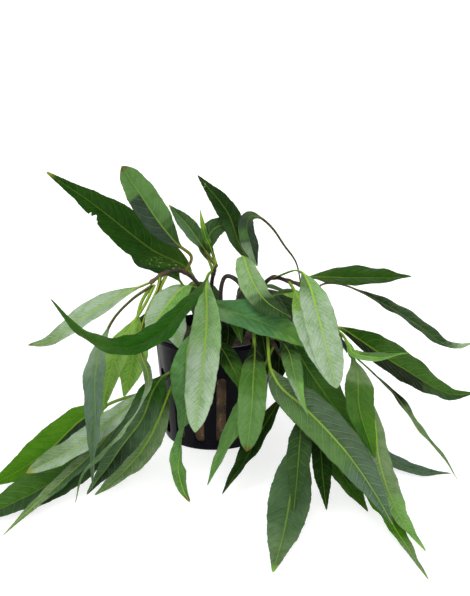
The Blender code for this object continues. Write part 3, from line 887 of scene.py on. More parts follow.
@dataclass
class Foliage:
    """All the leaves, each a thin closed blade on its stalk.

    Sizes are in metres, and those that end in mm are in millimetres. arch, the ripples, the drift and the
    deepest tooth are shares of half the leaf's width, and ridge and groove are shares of half the midrib's.
    Leaves that are fused are part of their stem's solid. The leaf's own number, its seed, shifts every
    pattern, so that no two leaves are alike.
    """

    plans: tuple[LeafPlan, ...]
    stems: dict[str, Path]
    skin: bpy.types.Material
    fused: bool = False
    edge_thickness: float = 0.00011
    middle_thickness: float = 0.00020
    thinnest: float = 0.00003
    arch: float = 0.07
    stalk_width: float = 0.0015
    stalk_swelling: float = 1.15
    stalk_taper: float = 0.12
    stalk_flatness: float = 0.42
    stalk_edge: float = 0.00002
    stalk_clearance: float = 0.35
    gap: float = 0.0003
    foot_steps: int = 120
    row_spacing: float = 0.0006
    fewest_rows: int = 30
    pointed_end: float = 0.012
    rounded_end: float = 0.05
    tooth: float = 0.00016
    tooth_mm: float = 2.4
    deepest_tooth: float = 0.1
    ripple: float = 0.018
    ripple_mm: float = 1.25
    small_ripple: float = 0.012
    small_ripple_mm: float = 0.71
    drift: float = 0.05
    drift_mm: float = 9.0
    full_ripple_width: float = 0.005
    tear_middle: float = 0.6
    tear_rag: float = 0.4
    tear_beats: float = 151.0
    wave_height: float = 0.00030
    wave_mm: float = 2.1
    second_wave: float = 0.6
    second_wave_mm: float = 3.3
    swell_height: float = 0.0004
    swell_mm: float = 11.0
    swell_across: float = 1.4
    base_light: float = 0.16
    border_swing: float = 0.05
    border_mm: float = 2.5
    thin_rib: float = 0.00016
    rib_growth: float = 0.00046
    full_rib_mm: float = 16.0
    thin_rib_share: float = 0.75
    ridge: float = 0.85
    groove: float = 0.35
    groove_width: float = 1.2
    lowest_under: float = 0.00004
    lowest_over: float = 0.0003
    columns: tuple[float, ...] = (0.0, 0.05, 0.13, 0.26, 0.42, 0.60, 0.78, 0.92, 1.0)

    def build(self) -> list[bpy.types.Object]:
        """Builds every leaf.

        Returns:
            The leaves' pieces.
        """
        pieces = []
        for plan in self.plans:
            nodes = () if self.fused else (plan.name,)
            pieces.append(settle(piece_from(plan.name, self.blade(plan), self.skin), plan.slot, *nodes))
        return pieces

    def width_share(self, outline: Outline, place: float) -> float:
        """Reads an outline, with its corners rounded off.

        Args:
            outline: The outline.
            place: The share of the blade's length.

        Returns:
            The blade's width there, as a share of its widest place.
        """
        knots = outline.value
        index = next((i for i in range(len(knots) - 2) if place <= knots[i + 1][0]), len(knots) - 2)
        slopes = []
        for knot in (index, index + 1):
            low, high = max(knot - 1, 0), min(knot + 1, len(knots) - 1)
            slopes.append((knots[high][1] - knots[low][1]) / (knots[high][0] - knots[low][0]))
        (start, low), (end, high) = knots[index], knots[index + 1]
        span = end - start
        part = max(0.0, min(1.0, (place - start) / span))
        rise = (2 * part**3 - 3 * part**2 + 1) * low + (part**3 - 2 * part**2 + part) * span * slopes[0]
        return rise + (3 * part**2 - 2 * part**3) * high + (part**3 - part**2) * span * slopes[1]

    def half_width(self, plan: LeafPlan, place: float) -> float:
        """Works out half the leaf's width, with a closed tip.

        Args:
            plan: The leaf.
            place: The share of its blade, below 0 on the stalk.

        Returns:
            Half the width in metres.
        """
        stalk = self.stalk_width * self.stalk_swelling / 2.0
        stalk *= 1.0 - self.stalk_taper * ease(place, -0.6, 0.0)
        if place <= 0.0:
            return stalk
        spread = self.width_share(plan.outline, min(place, 1.0)) * plan.width * MM / 2.0
        spread = math.hypot(spread, stalk * (1.0 - ease(place, 0.0, 0.3)))
        end = self.rounded_end if plan.outline is Outline.ROUNDED else self.pointed_end
        nearness = max(0.0, (place - 1.0 + end) / end)
        return max(spread * math.sqrt(1.0 - nearness**2 * 0.995), self.thinnest)

    def foot(self, plan: LeafPlan, path: Path) -> float:
        """Finds where a leaf's stalk leaves its stem.

        Args:
            plan: The leaf.
            path: The leaf's line.

        Returns:
            The distance from the line's start, 0 for a leaf that is fused to its stem.
        """
        if self.fused:
            return 0.0
        clearance = STEM_RADIUS + self.gap + self.stalk_clearance * self.stalk_width
        stem = self.stems[plan.stem]
        for step in range(self.foot_steps):
            distance = path.length * step / self.foot_steps
            if stem.nearest(path.at(distance))[1] > clearance:
                return distance
        return path.length

    def rows(self, plan: LeafPlan, path: Path, count: int) -> list[Row]:
        """Works out where the lines of points across a leaf lie.

        Args:
            plan: The leaf.
            path: The leaf's line.
            count: How many lines of points there are.

        Returns:
            The lines of points, from the stalk's foot to the tip.
        """
        foot = self.foot(plan, path)
        first, last = path.at(foot), path.at(path.length)
        heading = plan.heading or (last.x - first.x, last.y - first.y)
        side = Vector((-heading[1], heading[0], 0.0)).normalized()
        blade_length = (path.length - foot) * (1.0 - plan.stalk)
        found = []
        for step in range(count):
            distance = path.length * step / (count - 1)
            share = (distance - foot) / (path.length - foot)
            place = (share - plan.stalk) / (1.0 - plan.stalk)
            along = path.direction(distance)
            level = (side - along * side.dot(along)).normalized()
            roll = math.radians(plan.roll[0] + (plan.roll[1] - plan.roll[0]) * max(share, 0.0))
            level.rotate(Matrix.Rotation(roll, 3, along))
            half = self.half_width(plan, place)
            up = along.cross(level)
            found.append(Row(path.at(distance), level, up, half, place * blade_length, place))
        return found

    def margin(self, plan: LeafPlan, row: Row, sign: int, seed: float) -> float:
        """Works out how far one edge reaches, with its teeth, its waves and its tears.

        Args:
            plan: The leaf.
            row: The line of points across it.
            sign: Which edge, -1 or 1, or 0 for the midrib.
            seed: The leaf's own number.

        Returns:
            The reach as a share of half the width.
        """
        on_blade = ease(row.place, 0.04, 0.2) * (1.0 - ease(row.place, 0.9, 1.0))
        run = row.run / MM
        teeth = self.tooth / row.half * ((run / self.tooth_mm + seed) % 1.0 - 0.5)
        ripple = self.ripple * math.sin(run / self.ripple_mm + seed * 7.0 + sign)
        ripple += self.small_ripple * math.sin(run / self.small_ripple_mm + seed * 3.0 * sign)
        ripple += self.drift * noise.noise(Vector((run / self.drift_mm, seed * 13.0, sign * 4.0)))
        narrow = min(1.0, self.full_ripple_width / row.half)
        teeth = min(self.deepest_tooth, max(-self.deepest_tooth, teeth))
        reach = 1.0 + on_blade * (ripple * narrow + teeth)
        for tear in plan.tears:
            if tear.side == sign and tear.start < row.place < tear.end:
                rag = self.tear_rag * math.sin(row.place * self.tear_beats)
                reach -= tear.depth * (self.tear_middle + rag)
        return reach

    def blade(self, plan: LeafPlan) -> bmesh.types.BMesh:
        """Builds one leaf as a closed shape.

        Args:
            plan: The leaf.

        Returns:
            The shape, with the leaf's tints and measures kept in it.
        """
        path = Path.through(plan.points)
        count = max(self.fewest_rows, round(path.length / self.row_spacing))
        rows = self.rows(plan, path, count)
        shape = bmesh.new()
        wide = 2 * (len(self.columns) - 1)
        bmesh.ops.create_grid(shape, x_segments=wide, y_segments=count - 1, size=1.0)
        column = shape.verts.layers.int.new("column")
        line = shape.verts.layers.int.new("line")
        for vert in shape.verts:
            vert[column] = round((vert.co.x + 1.0) / 2.0 * wide) - wide // 2
            vert[line] = round((vert.co.y + 1.0) / 2.0 * (count - 1))
        under = set(shape.verts)
        bmesh.ops.extrude_face_region(shape, geom=shape.faces[:], use_keep_orig=True)
        random.seed(plan.name)
        seed = random.random()
        names = ("across", "side", "run", "rib", "rib_width", "vein", "wet", "under")
        layers = {name: shape.verts.layers.float.new(name) for name in names}
        tint = shape.verts.layers.float_color.new("tint")
        for vert in shape.verts:
            row = rows[vert[line]]
            below = vert in under
            sign = (vert[column] > 0) - (vert[column] < 0)
            across = sign * self.columns[abs(vert[column])]
            side = row.half * self.margin(plan, row, sign, seed) * across
            vert.co = self.surface(plan, row, across, side, below, seed)
            for name, value in self.measures(plan, row, across, side, below).items():
                vert[layers[name]] = value
            vert[tint] = (*self.tint(plan, row, sign, below, seed), 1.0)
        for spare in (column, line):
            shape.verts.layers.int.remove(spare)
        bmesh.ops.recalc_face_normals(shape, faces=shape.faces)
        return shape

    def measures(
        self, plan: LeafPlan, row: Row, across: float, side: float, below: bool
    ) -> dict[str, float]:
        """Works out what the leaf's material reads at a point, besides its tint.

        Args:
            plan: The leaf.
            row: The line of points that it is on.
            across: Its place across the leaf, from -1 to 1.
            side: Its distance from the midrib in metres, below 0 on the first half.
            below: Whether it is on the face that is turned down.

        Returns:
            A number for each of the material's attributes, with lengths in millimetres.
        """
        finish = FINISHES[plan.tone]
        underside = below != finish.underside_out
        return {
            "across": across,
            "side": side / MM,
            "run": row.run / MM,
            "rib": finish.rib * (1.0 if underside else self.thin_rib_share),
            "rib_width": self.rib_radius(plan, row) / MM,
            "vein": finish.vein,
            "wet": self.wetness(plan, row, across, below),
            "under": float(underside),
        }

    def wetness(self, plan: LeafPlan, row: Row, across: float, below: bool) -> float:
        """Works out where drops lie.

        Args:
            plan: The leaf.
            row: The line of points across it.
            across: The place across the leaf, from -1 to 1.
            below: Whether it is the face that is turned down.

        Returns:
            1 where drops lie on the leaf, 0 elsewhere.
        """
        drops = plan.wet
        if drops is None or below or (drops.side and drops.side * across <= 0.0):
            return 0.0
        start = ease(row.place, drops.start, drops.start + drops.border)
        return start * (1.0 - ease(row.place, drops.end - drops.border, drops.end))

    def rib_radius(self, plan: LeafPlan, row: Row) -> float:
        """Returns half the midrib's width, which grows thinner towards the tip."""
        growth = self.rib_growth * min(1.0, plan.width / self.full_rib_mm)
        return self.thin_rib + growth * (1.0 - ease(row.place, 0.1, 1.0))

    def surface(
        self, plan: LeafPlan, row: Row, across: float, side: float, below: bool, seed: float
    ) -> Vector:
        """Works out where a point on one of the leaf's faces lies.

        Args:
            plan: The leaf.
            row: The line of points that it is on.
            across: Its place across the leaf, from -1 to 1.
            side: Its distance from the midrib in metres, below 0 on the first half.
            below: Whether it is on the face that is turned down.
            seed: The leaf's own number.

        Returns:
            The point.
        """
        on_blade = ease(row.place, -0.02, 0.10)
        reach = abs(across)
        sign = 1.0 if across > 0.0 else -1.0
        run = row.run / MM
        lift = row.half * (plan.fold * reach + self.arch * math.sin(math.pi * reach)) * on_blade
        swing = ease(row.place, 0.05, 0.3) * (1.0 - ease(row.place, 0.85, 1.0)) * plan.wave
        wave = math.sin(run / self.wave_mm + seed * 40.0 + sign * 1.3)
        wave += self.second_wave * math.sin(run / self.second_wave_mm + seed * 17.0 - sign)
        lift += self.wave_height * wave * swing * reach**2 * min(1.0, row.half / self.full_ripple_width)
        swell = noise.noise(Vector((run / self.swell_mm, across * self.swell_across, seed * 50.0)))
        lift += self.swell_height * swell * swing
        body = self.edge_thickness + (self.middle_thickness - self.edge_thickness) * (1.0 - reach)
        radius = self.rib_radius(plan, row)
        if below != FINISHES[plan.tone].underside_out:
            flat = body + math.exp(-((side / radius) ** 2)) * radius * self.ridge
        else:
            flat = body - math.exp(-((side / (radius * self.groove_width)) ** 2)) * radius * self.groove
        stalk = self.stalk_width * self.stalk_flatness * math.sqrt(max(0.0, 1.0 - reach**2))
        stalk += self.stalk_edge
        thick = stalk + (flat - stalk) * on_blade
        point = row.centre - row.level * side + row.up * (lift - thick if below else lift + thick)
        point.z = max(point.z, self.lowest_under if below else self.lowest_over)
        return point

    def tint(self, plan: LeafPlan, row: Row, sign: int, below: bool, seed: float) -> Rgb:
        """Works out the leaf's colour at a point, before its veins and patches: its own colour, with its
        patches of other colours, some of them painted shade.

        Args:
            plan: The leaf.
            row: The line of points across it.
            sign: Which half, -1 or 1, or 0 for the midrib.
            below: Whether it is the face that is turned down.
            seed: The leaf's own number.

        Returns:
            The colour.
        """
        finish = FINISHES[plan.tone]
        colour = finish.back if below else finish.face
        light = self.base_light * (1.0 - ease(row.place, 0.0, 0.35))
        colour = blend(colour, FINISHES[Tone.LIME].face, light)
        colour = tuple(channel * plan.brightness for channel in colour)
        swing = noise.noise(Vector((row.run / MM / self.border_mm, sign * 5.0, seed * 9.0)))
        place = row.place + self.border_swing * swing
        # Some of these patches are painted shade, noted at their leaves.
        for stain_and_shade in plan.stains_and_shade:
            if stain_and_shade.side in (0, sign):
                soft = stain_and_shade.border
                reach = ease(place, stain_and_shade.start - soft, stain_and_shade.start + soft) if stain_and_shade.start > 0.0 else 1.0
                reach *= 1.0 - ease(place, stain_and_shade.end - soft, stain_and_shade.end + soft) if stain_and_shade.end < 1.0 else 1.0
                stain_and_shade_finish = FINISHES[stain_and_shade.tone]
                colour = blend(colour, stain_and_shade_finish.back if below else stain_and_shade_finish.face, reach * stain_and_shade.strength)
        if plan.tip is not None:
            colour = blend(colour, FINISHES[plan.tip].face, ease(row.place, 0.93, 0.99))
        return blend(FINISHES[plan.stalk_tone].face, colour, ease(row.place, -0.03, 0.05))


@dataclass
class Stems:
    """The stems: round, a little swollen at each joint, dark below and greener at the ends.

    Lengths are in metres. taper, swelling, lump and end_rounding are shares of the radius, and young_from is
    the share of the length above which the stem grows greener.
    """

    paths: dict[str, Path]
    plans: tuple[LeafPlan, ...]
    skin: bpy.types.Material
    sides: int = 14
    spacing: float = 0.0006
    fewest_rings: int = 12
    taper: float = 0.18
    swelling: float = 0.28
    joint_reach: float = 0.0013
    even_share: float = 0.94
    lump: float = 0.10
    lump_size: float = 0.0026
    end_rounding: float = 0.55
    end_reach: float = 0.0009
    old: Rgb = linear(42, 35, 31)
    young: Rgb = linear(92, 90, 48)
    young_from: float = 0.75
    young_share: float = 0.7

    def build(self) -> list[bpy.types.Object]:
        """Builds every stem.

        Returns:
            The stems' pieces.
        """
        return [settle(piece_from(name, self.rod(name), self.skin), Slot.STEM, name) for name in self.paths]

    def joints(self, name: str) -> list[float]:
        """Finds a stem's joints.

        Args:
            name: The stem's name.

        Returns:
            How far up the stem each of its leaves grows.
        """
        path = self.paths[name]
        grown = [plan for plan in self.plans if plan.stem == name]
        return sorted(path.nearest(Vector(plan.points[0]) * MM)[0] for plan in grown)

    def rod(self, name: str) -> bmesh.types.BMesh:
        """Builds one stem as a closed shape.

        Args:
            name: The stem's name.

        Returns:
            The shape, with its tints and joints kept in it.
        """
        path = self.paths[name]
        count = max(self.fewest_rings, round(path.length / self.spacing))
        frames = path.frames(count)
        joints = self.joints(name)
        shape = bmesh.new()
        bmesh.ops.create_cone(
            shape, cap_ends=True, segments=self.sides, radius1=1.0, radius2=1.0, depth=2.0
        )
        upright = [edge for edge in shape.edges if abs(edge.verts[0].co.z - edge.verts[1].co.z) > 1.0]
        bmesh.ops.subdivide_edges(shape, edges=upright, cuts=count - 2, use_grid_fill=True)
        joint = shape.verts.layers.float.new("joint")
        tint = shape.verts.layers.float_color.new("tint")
        for vert in shape.verts:
            step = round((vert.co.z + 1.0) / 2.0 * (count - 1))
            distance = path.length * step / (count - 1)
            centre, sideways, upward = frames[step]
            gap = min([abs(distance - place) for place in joints] or [math.inf])
            near = math.exp(-((gap / self.joint_reach) ** 2))
            radius = STEM_RADIUS * (1.0 - self.taper * distance / path.length + self.swelling * near)
            radius *= self.even_share + self.lump * noise.noise(centre / self.lump_size)
            radius *= 1.0 - self.end_rounding * (1.0 - ease(path.length - distance, 0.0, self.end_reach))
            vert.co = centre + (sideways * vert.co.x + upward * vert.co.y) * radius
            vert[joint] = near
            youth = ease(distance / path.length, self.young_from, 1.0)
            vert[tint] = (*blend(self.old, self.young, youth * self.young_share), 1.0)
        bmesh.ops.recalc_face_normals(shape, faces=shape.faces)
        return shape


@dataclass
class NetPot:
    """The net pot: a turned cup with a rim, cut by upright slots with round ends. Angles are in degrees."""

    height: float = 0.050
    base_radius: float = 0.023
    top_radius: float = 0.027
    rim_radius: float = 0.028
    rim_height: float = 0.0024
    wall: float = 0.0012
    floor: float = 0.0016
    lip: float = 0.0005
    base_rounding: float = 0.0012
    steps: int = 180
    slot_count: int = 15
    slot_width: float = 0.0046
    slot_bottom: float = 0.0040
    slot_top: float = 0.0355
    slot_corners: int = 20
    first_slot: float = -82.7
    cutter_start: float = 0.017
    cutter_reach: float = 0.017
    soft_edge: float = 0.00022
    soft_angle: float = 40.0
    sharp_angle: float = 35.0

    def radius_at(self, height: float) -> float:
        """Returns the radius of the outer wall at a height."""
        return self.base_radius + (self.top_radius - self.base_radius) * height / self.height

    def build(self) -> bpy.types.Object:
        """Builds the pot.

        Returns:
            The pot's piece.
        """
        piece = piece_from("net_pot", self.cup(), PotPlastic().make())
        cutter = piece_from("slot_cutter", self.slots())
        cut = piece.modifiers.new("slots", "BOOLEAN")
        cut.operation = "DIFFERENCE"
        cut.solver = "EXACT"
        cut.object = cutter
        soft = piece.modifiers.new("soft_edges", "BEVEL")
        soft.width = self.soft_edge
        soft.segments = 2
        soft.limit_method = "ANGLE"
        soft.angle_limit = math.radians(self.soft_angle)
        bpy.context.view_layer.update()
        cooked = bpy.data.meshes.new_from_object(piece.evaluated_get(bpy.context.evaluated_depsgraph_get()))
        piece.modifiers.clear()
        piece.data = cooked
        bpy.data.objects.remove(cutter, do_unlink=True)
        cooked.shade_smooth()
        cooked.set_sharp_from_angle(angle=math.radians(self.sharp_angle))
        return settle(piece, Slot.POT, "pot")

    def cup(self) -> bmesh.types.BMesh:
        """Builds the cup as a turned shape, before its slots.

        Returns:
            The shape.
        """
        under_rim = self.height - self.rim_height
        inner_top = self.radius_at(self.height) - self.wall
        profile = [
            (0.0, self.floor),
            (self.radius_at(self.floor) - self.wall, self.floor),
            (inner_top, self.height - self.lip),
            (inner_top + self.lip, self.height),
            (self.rim_radius - self.lip, self.height),
            (self.rim_radius, self.height - self.lip),
            (self.rim_radius, under_rim + self.lip / 2.0),
            (self.rim_radius - self.lip / 2.0, under_rim),
            (self.radius_at(under_rim), under_rim),
            (self.radius_at(self.base_rounding), self.base_rounding),
            (self.base_radius - self.base_rounding * 0.3, self.base_rounding * 0.3),
            (self.base_radius - self.base_rounding, 0.0),
            (0.0, 0.0),
        ]
        return turned(profile, self.steps)

    def slots(self) -> bmesh.types.BMesh:
        """Builds the bars that cut the slots, pointing outwards.

        Returns:
            The bars as one shape.
        """
        shape = bmesh.new()
        half = self.slot_width / 2.0
        for number in range(self.slot_count):
            ring = bmesh.ops.create_circle(
                shape, cap_ends=True, segments=self.slot_corners, radius=half
            )["verts"]
            bmesh.ops.transform(shape, verts=ring, matrix=Matrix.Rotation(math.pi / 2.0, 4, "Y"))
            for vert in ring:
                vert.co.x = self.cutter_start
                vert.co.z += self.slot_top - half if vert.co.z > 0.0 else self.slot_bottom + half
            faces = list({face for vert in ring for face in vert.link_faces})
            pushed = bmesh.ops.extrude_face_region(shape, geom=faces)["geom"]
            far = [item for item in pushed if isinstance(item, bmesh.types.BMVert)]
            bmesh.ops.translate(shape, verts=far, vec=(self.cutter_reach, 0.0, 0.0))
            angle = math.radians(self.first_slot) + number * math.tau / self.slot_count
            bmesh.ops.transform(shape, verts=ring + far, matrix=Matrix.Rotation(angle, 4, "Z"))
        bmesh.ops.recalc_face_normals(shape, faces=shape.faces)
        return shape


@dataclass
class GrowingMedium:
    """The growing medium that fills the pot: a lumpy plug with loose fibres on top.

    Sizes are in metres, and scales in lumps to a metre. A fibre turns by up to fibre_swing radians at each of
    its bends, and fibre_climb is how steeply it may fall or rise.
    """

    pot: NetPot
    bottom: float = 0.0019
    top: float = 0.0460
    gap: float = 0.0006
    edge: float = 0.0012
    steps: int = 132
    bottom_rings: int = 8
    wall_rings: int = 46
    top_rings: int = 22
    roughness: float = 0.00062
    sinking: float = 0.0005
    grain_scale: float = 420.0
    grain_layers: int = 4
    grain_fineness: float = 2.2
    grain_softness: float = 0.7
    lump_scale: float = 130.0
    lump_share: float = 0.6
    fibres: int = 170
    fibre_bends: int = 3
    fibre_sides: int = 5
    fibre_rings: int = 7
    fibre_taper: float = 0.08
    fibre_radius: tuple[float, float] = (0.00007, 0.00013)
    fibre_length: tuple[float, float] = (0.003, 0.008)
    fibre_climb: tuple[float, float] = (-0.12, 0.18)
    fibre_swing: float = 0.7
    fibre_start_reach: float = 0.0215
    fibre_reach: float = 0.0235
    fibre_start_sunk: float = 0.0002
    deepest_fibre: float = 0.0006
    highest_fibre: float = 0.0012

    def build(self) -> list[bpy.types.Object]:
        """Builds the plug and its fibres.

        Returns:
            The two pieces.
        """
        plug = piece_from("medium_plug", self.plug(), MediumFibre().make())
        strands = piece_from("medium_fibres", self.strands(), MediumFibre().make("medium_fibres", 0.5))
        return [settle(plug, Slot.MEDIUM, "growing_medium"), settle(strands, Slot.MEDIUM)]

    def plug(self) -> bmesh.types.BMesh:
        """Builds the plug, with a rough side and top.

        Returns:
            The shape.
        """
        low = self.pot.radius_at(self.bottom) - self.pot.wall - self.gap
        high = self.pot.radius_at(self.top) - self.pot.wall - self.gap
        rise = self.top - self.edge - self.bottom
        profile = [(low * ring / self.bottom_rings, self.bottom) for ring in range(self.bottom_rings)]
        for ring in range(self.wall_rings + 1):
            share = ring / self.wall_rings
            profile.append((low + (high - low) * share, self.bottom + rise * share))
        profile.append((high - self.edge * 0.3, self.top - self.edge * 0.3))
        for ring in range(self.top_rings, -1, -1):
            profile.append(((high - self.edge) * ring / self.top_rings, self.top))
        shape = turned(profile, self.steps)
        shape.normal_update()
        pushes = [(vert, vert.normal.copy()) for vert in shape.verts]
        layers = (self.grain_softness, self.grain_fineness, self.grain_layers)
        for vert, outward in pushes:
            grain = noise.fractal(vert.co * self.grain_scale, *layers)
            lumps = noise.noise(vert.co * self.lump_scale)
            rough = grain + self.lump_share * lumps
            vert.co += outward * (self.roughness * rough - self.sinking)
        return shape

    def strands(self) -> bmesh.types.BMesh:
        """Builds the thin loose fibres that lie on the plug's top, half sunk in it.

        Returns:
            The fibres as one shape.
        """
        shape = bmesh.new()
        random.seed("fibres")
        for _ in range(self.fibres):
            turn = random.uniform(0.0, math.tau)
            reach = math.sqrt(random.random()) * self.fibre_start_reach
            swing = random.uniform(0.0, math.tau)
            length = random.uniform(*self.fibre_length)
            height = self.top - self.fibre_start_sunk
            knots = [Vector((math.cos(turn) * reach, math.sin(turn) * reach, height))]
            for _bend in range(self.fibre_bends):
                swing += random.uniform(-self.fibre_swing, self.fibre_swing)
                way = Vector((math.cos(swing), math.sin(swing), random.uniform(*self.fibre_climb)))
                spot = knots[-1] + way * (length / self.fibre_bends)
                spot.z = max(self.top - self.deepest_fibre, min(self.top + self.highest_fibre, spot.z))
                if spot.xy.length > self.fibre_reach:
                    spot.xy = spot.xy.normalized() * self.fibre_reach
                knots.append(spot)
            path = Path.through(tuple(tuple(knot / MM) for knot in knots))
            self.strand(shape, path, random.uniform(*self.fibre_radius))
        bmesh.ops.recalc_face_normals(shape, faces=shape.faces)
        return shape

    def strand(self, shape: bmesh.types.BMesh, path: Path, radius: float) -> None:
        """Adds one fibre along a path.

        Args:
            shape: The shape that the fibre joins.
            path: The fibre's line.
            radius: The fibre's radius in metres.
        """
        poses = []
        for number, (centre, sideways, upward) in enumerate(path.frames(self.fibre_rings)):
            thin = radius * (1.0 - self.fibre_taper * number)
            columns = (sideways * thin, upward * thin, sideways.cross(upward) * thin)
            poses.append(Matrix.Translation(centre) @ Matrix(columns).transposed().to_4x4())
        ring = bmesh.ops.create_circle(
            shape, cap_ends=True, segments=self.fibre_sides, radius=1.0, matrix=poses[0]
        )["verts"]
        end = ring[0].link_faces[0]
        for before, after in zip(poses, poses[1:]):
            first = before is poses[0]
            pushed = bmesh.ops.extrude_face_region(shape, geom=[end], use_keep_orig=first)["geom"]
            corners = [item for item in pushed if isinstance(item, bmesh.types.BMVert)]
            end = next(item for item in pushed if isinstance(item, bmesh.types.BMFace))
            bmesh.ops.transform(shape, verts=corners, matrix=after @ before.inverted())


@dataclass(frozen=True)
class Sun:
    """A wide soft light that falls evenly from one direction.

    place is the direction that it comes from, and softness is how wide it looks, in degrees.
    """

    name: str
    place: Point
    softness: float
    strength: float

    def add(self) -> None:
        """Adds the light."""
        data = bpy.data.lights.new(self.name, "SUN")
        data.angle = math.radians(self.softness)
        data.energy = self.strength
        lamp = bpy.data.objects.new(self.name, data)
        bpy.context.scene.collection.objects.link(lamp)
        lamp.rotation_euler = Vector(self.place).to_track_quat("Z", "Y").to_euler()


@dataclass
class Studio:
    """The plain pale floor, the soft light and the camera, with angles in degrees."""

    eye: Point = (0.0, -0.4418, 0.1876)
    yaw: float = 1.25
    pitch: float = -15.5
    focal_pixels: float = 1008.0
    picture_height: float = 596.0
    sensor: float = 36.0
    nearest: float = 0.01
    farthest: float = 20.0
    sky_strength: float = 0.75
    floor_grey: float = 0.45
    floor_mottle: float = 0.01
    floor_glow: float = 0.70
    floor_roughness: float = 0.95
    floor_specular: float = 0.1
    floor_columns: int = 24
    floor_rows: int = 48
    floor_half: float = 3.0
    floor_rise_from: float = 1.2
    floor_rise: float = 2.2
    floor_drop: float = 0.0001
    suns: tuple[Sun, ...] = (
        Sun("key_light", (-0.40, -0.52, 0.86), 46.0, 1.4),
        Sun("front_light", (0.10, -1.0, 0.42), 50.0, 1.7),
        Sun("fill_light", (0.70, -0.40, 0.60), 70.0, 0.45),
    )

    def build(self) -> None:
        """Builds the floor, the lights and the camera."""
        self.add_floor()
        self.add_sky()
        for sun in self.suns:
            sun.add()
        self.add_camera()

    def add_floor(self) -> None:
        """Adds the floor, a pale sheet that rises far behind the plant and glows a little."""
        recipe = Recipe("studio_floor")
        grey, paler = (self.floor_grey,) * 3, (self.floor_grey + self.floor_mottle,) * 3
        sockets = {
            "Base Color": recipe.plain(grey).to(paler, recipe.noise(3.0, 1.0)),
            "Roughness": self.floor_roughness,
            "Emission Color": (1.0, 1.0, 1.0),
            "Emission Strength": self.floor_glow,
            "Specular IOR Level": self.floor_specular,
        }
        shape = bmesh.new()
        bmesh.ops.create_grid(
            shape, x_segments=self.floor_columns, y_segments=self.floor_rows, size=self.floor_half
        )
        for vert in shape.verts:
            vert.co.z = self.floor_rise * ease(vert.co.y, self.floor_rise_from, self.floor_half) ** 2
        bmesh.ops.translate(shape, verts=shape.verts, vec=(0.0, 0.0, -self.floor_drop))
        piece_from("studio_floor", shape, recipe.finish(sockets))

    def add_sky(self) -> None:
        """Adds the even white light from all round."""
        world = bpy.data.worlds.new("studio")
        bpy.context.scene.world = world
        world.use_nodes = True
        sky = world.node_tree.nodes["Background"]
        sky.inputs["Color"].default_value = (1.0, 1.0, 1.0, 1.0)
        sky.inputs["Strength"].default_value = self.sky_strength

    def add_camera(self) -> None:
        """Adds the camera at the photograph's viewpoint."""
        data = bpy.data.cameras.new("camera")
        data.sensor_width = self.sensor
        data.lens = self.sensor * self.focal_pixels / self.picture_height
        data.clip_start, data.clip_end = self.nearest, self.farthest
        camera = bpy.data.objects.new("camera", data)
        bpy.context.scene.collection.objects.link(camera)
        camera.location = self.eye
        camera.rotation_euler = (math.radians(90.0 + self.pitch), 0.0, math.radians(-self.yaw))
        bpy.context.scene.camera = camera
        bpy.context.scene.view_settings.view_transform = "Standard"


# The plant

STEMS: dict[str, tuple[Point, ...]] = {
    "stem_left": (
        (-7, -1, 46.8), (-6, -1, 58), (-6, -2, 70), (-13, -3, 78), (-21, -8, 79), (-28, -14, 76),
    ),
    "stem_centre": ((1, 3, 46.8), (0, 3, 58), (-1, 0, 70), (0, -7, 79), (1, -13, 84)),
    "stem_right": (
        (13, 2, 46.8), (17, 0, 58), (21, -2, 69), (26, -6, 76), (33, -12, 76), (40, -15, 74),
        (43, -17, 70),
    ),
    "stem_right_front": (
        (17, -8, 46.8), (21, -10, 54), (31, -15, 59), (44, -22, 58), (54, -27, 54), (60, -30, 46),
        (63, -31, 34), (66, -31, 22),
    ),
    "stem_front": (
        (5, -4, 46.8), (4, -8, 58), (3, -11, 70), (5, -12, 78), (10, -14, 77), (15, -17, 70),
        (19, -22, 62), (24, -30, 55), (31, -38, 45), (36, -46, 33), (38, -50, 24),
    ),
    "stem_left_front": (
        (-4, -12, 46.8), (-4, -20, 53), (-5, -29, 54), (-9, -35, 49), (-19, -39, 42), (-31, -42, 35),
    ),
    "stem_back_left": ((-8, 10, 46.8), (-9, 13, 56), (-12, 19, 62), (-16, 27, 60)),
    "stem_back_right": ((8, 11, 46.8), (10, 14, 56), (13, 20, 62), (18, 28, 59)),
}

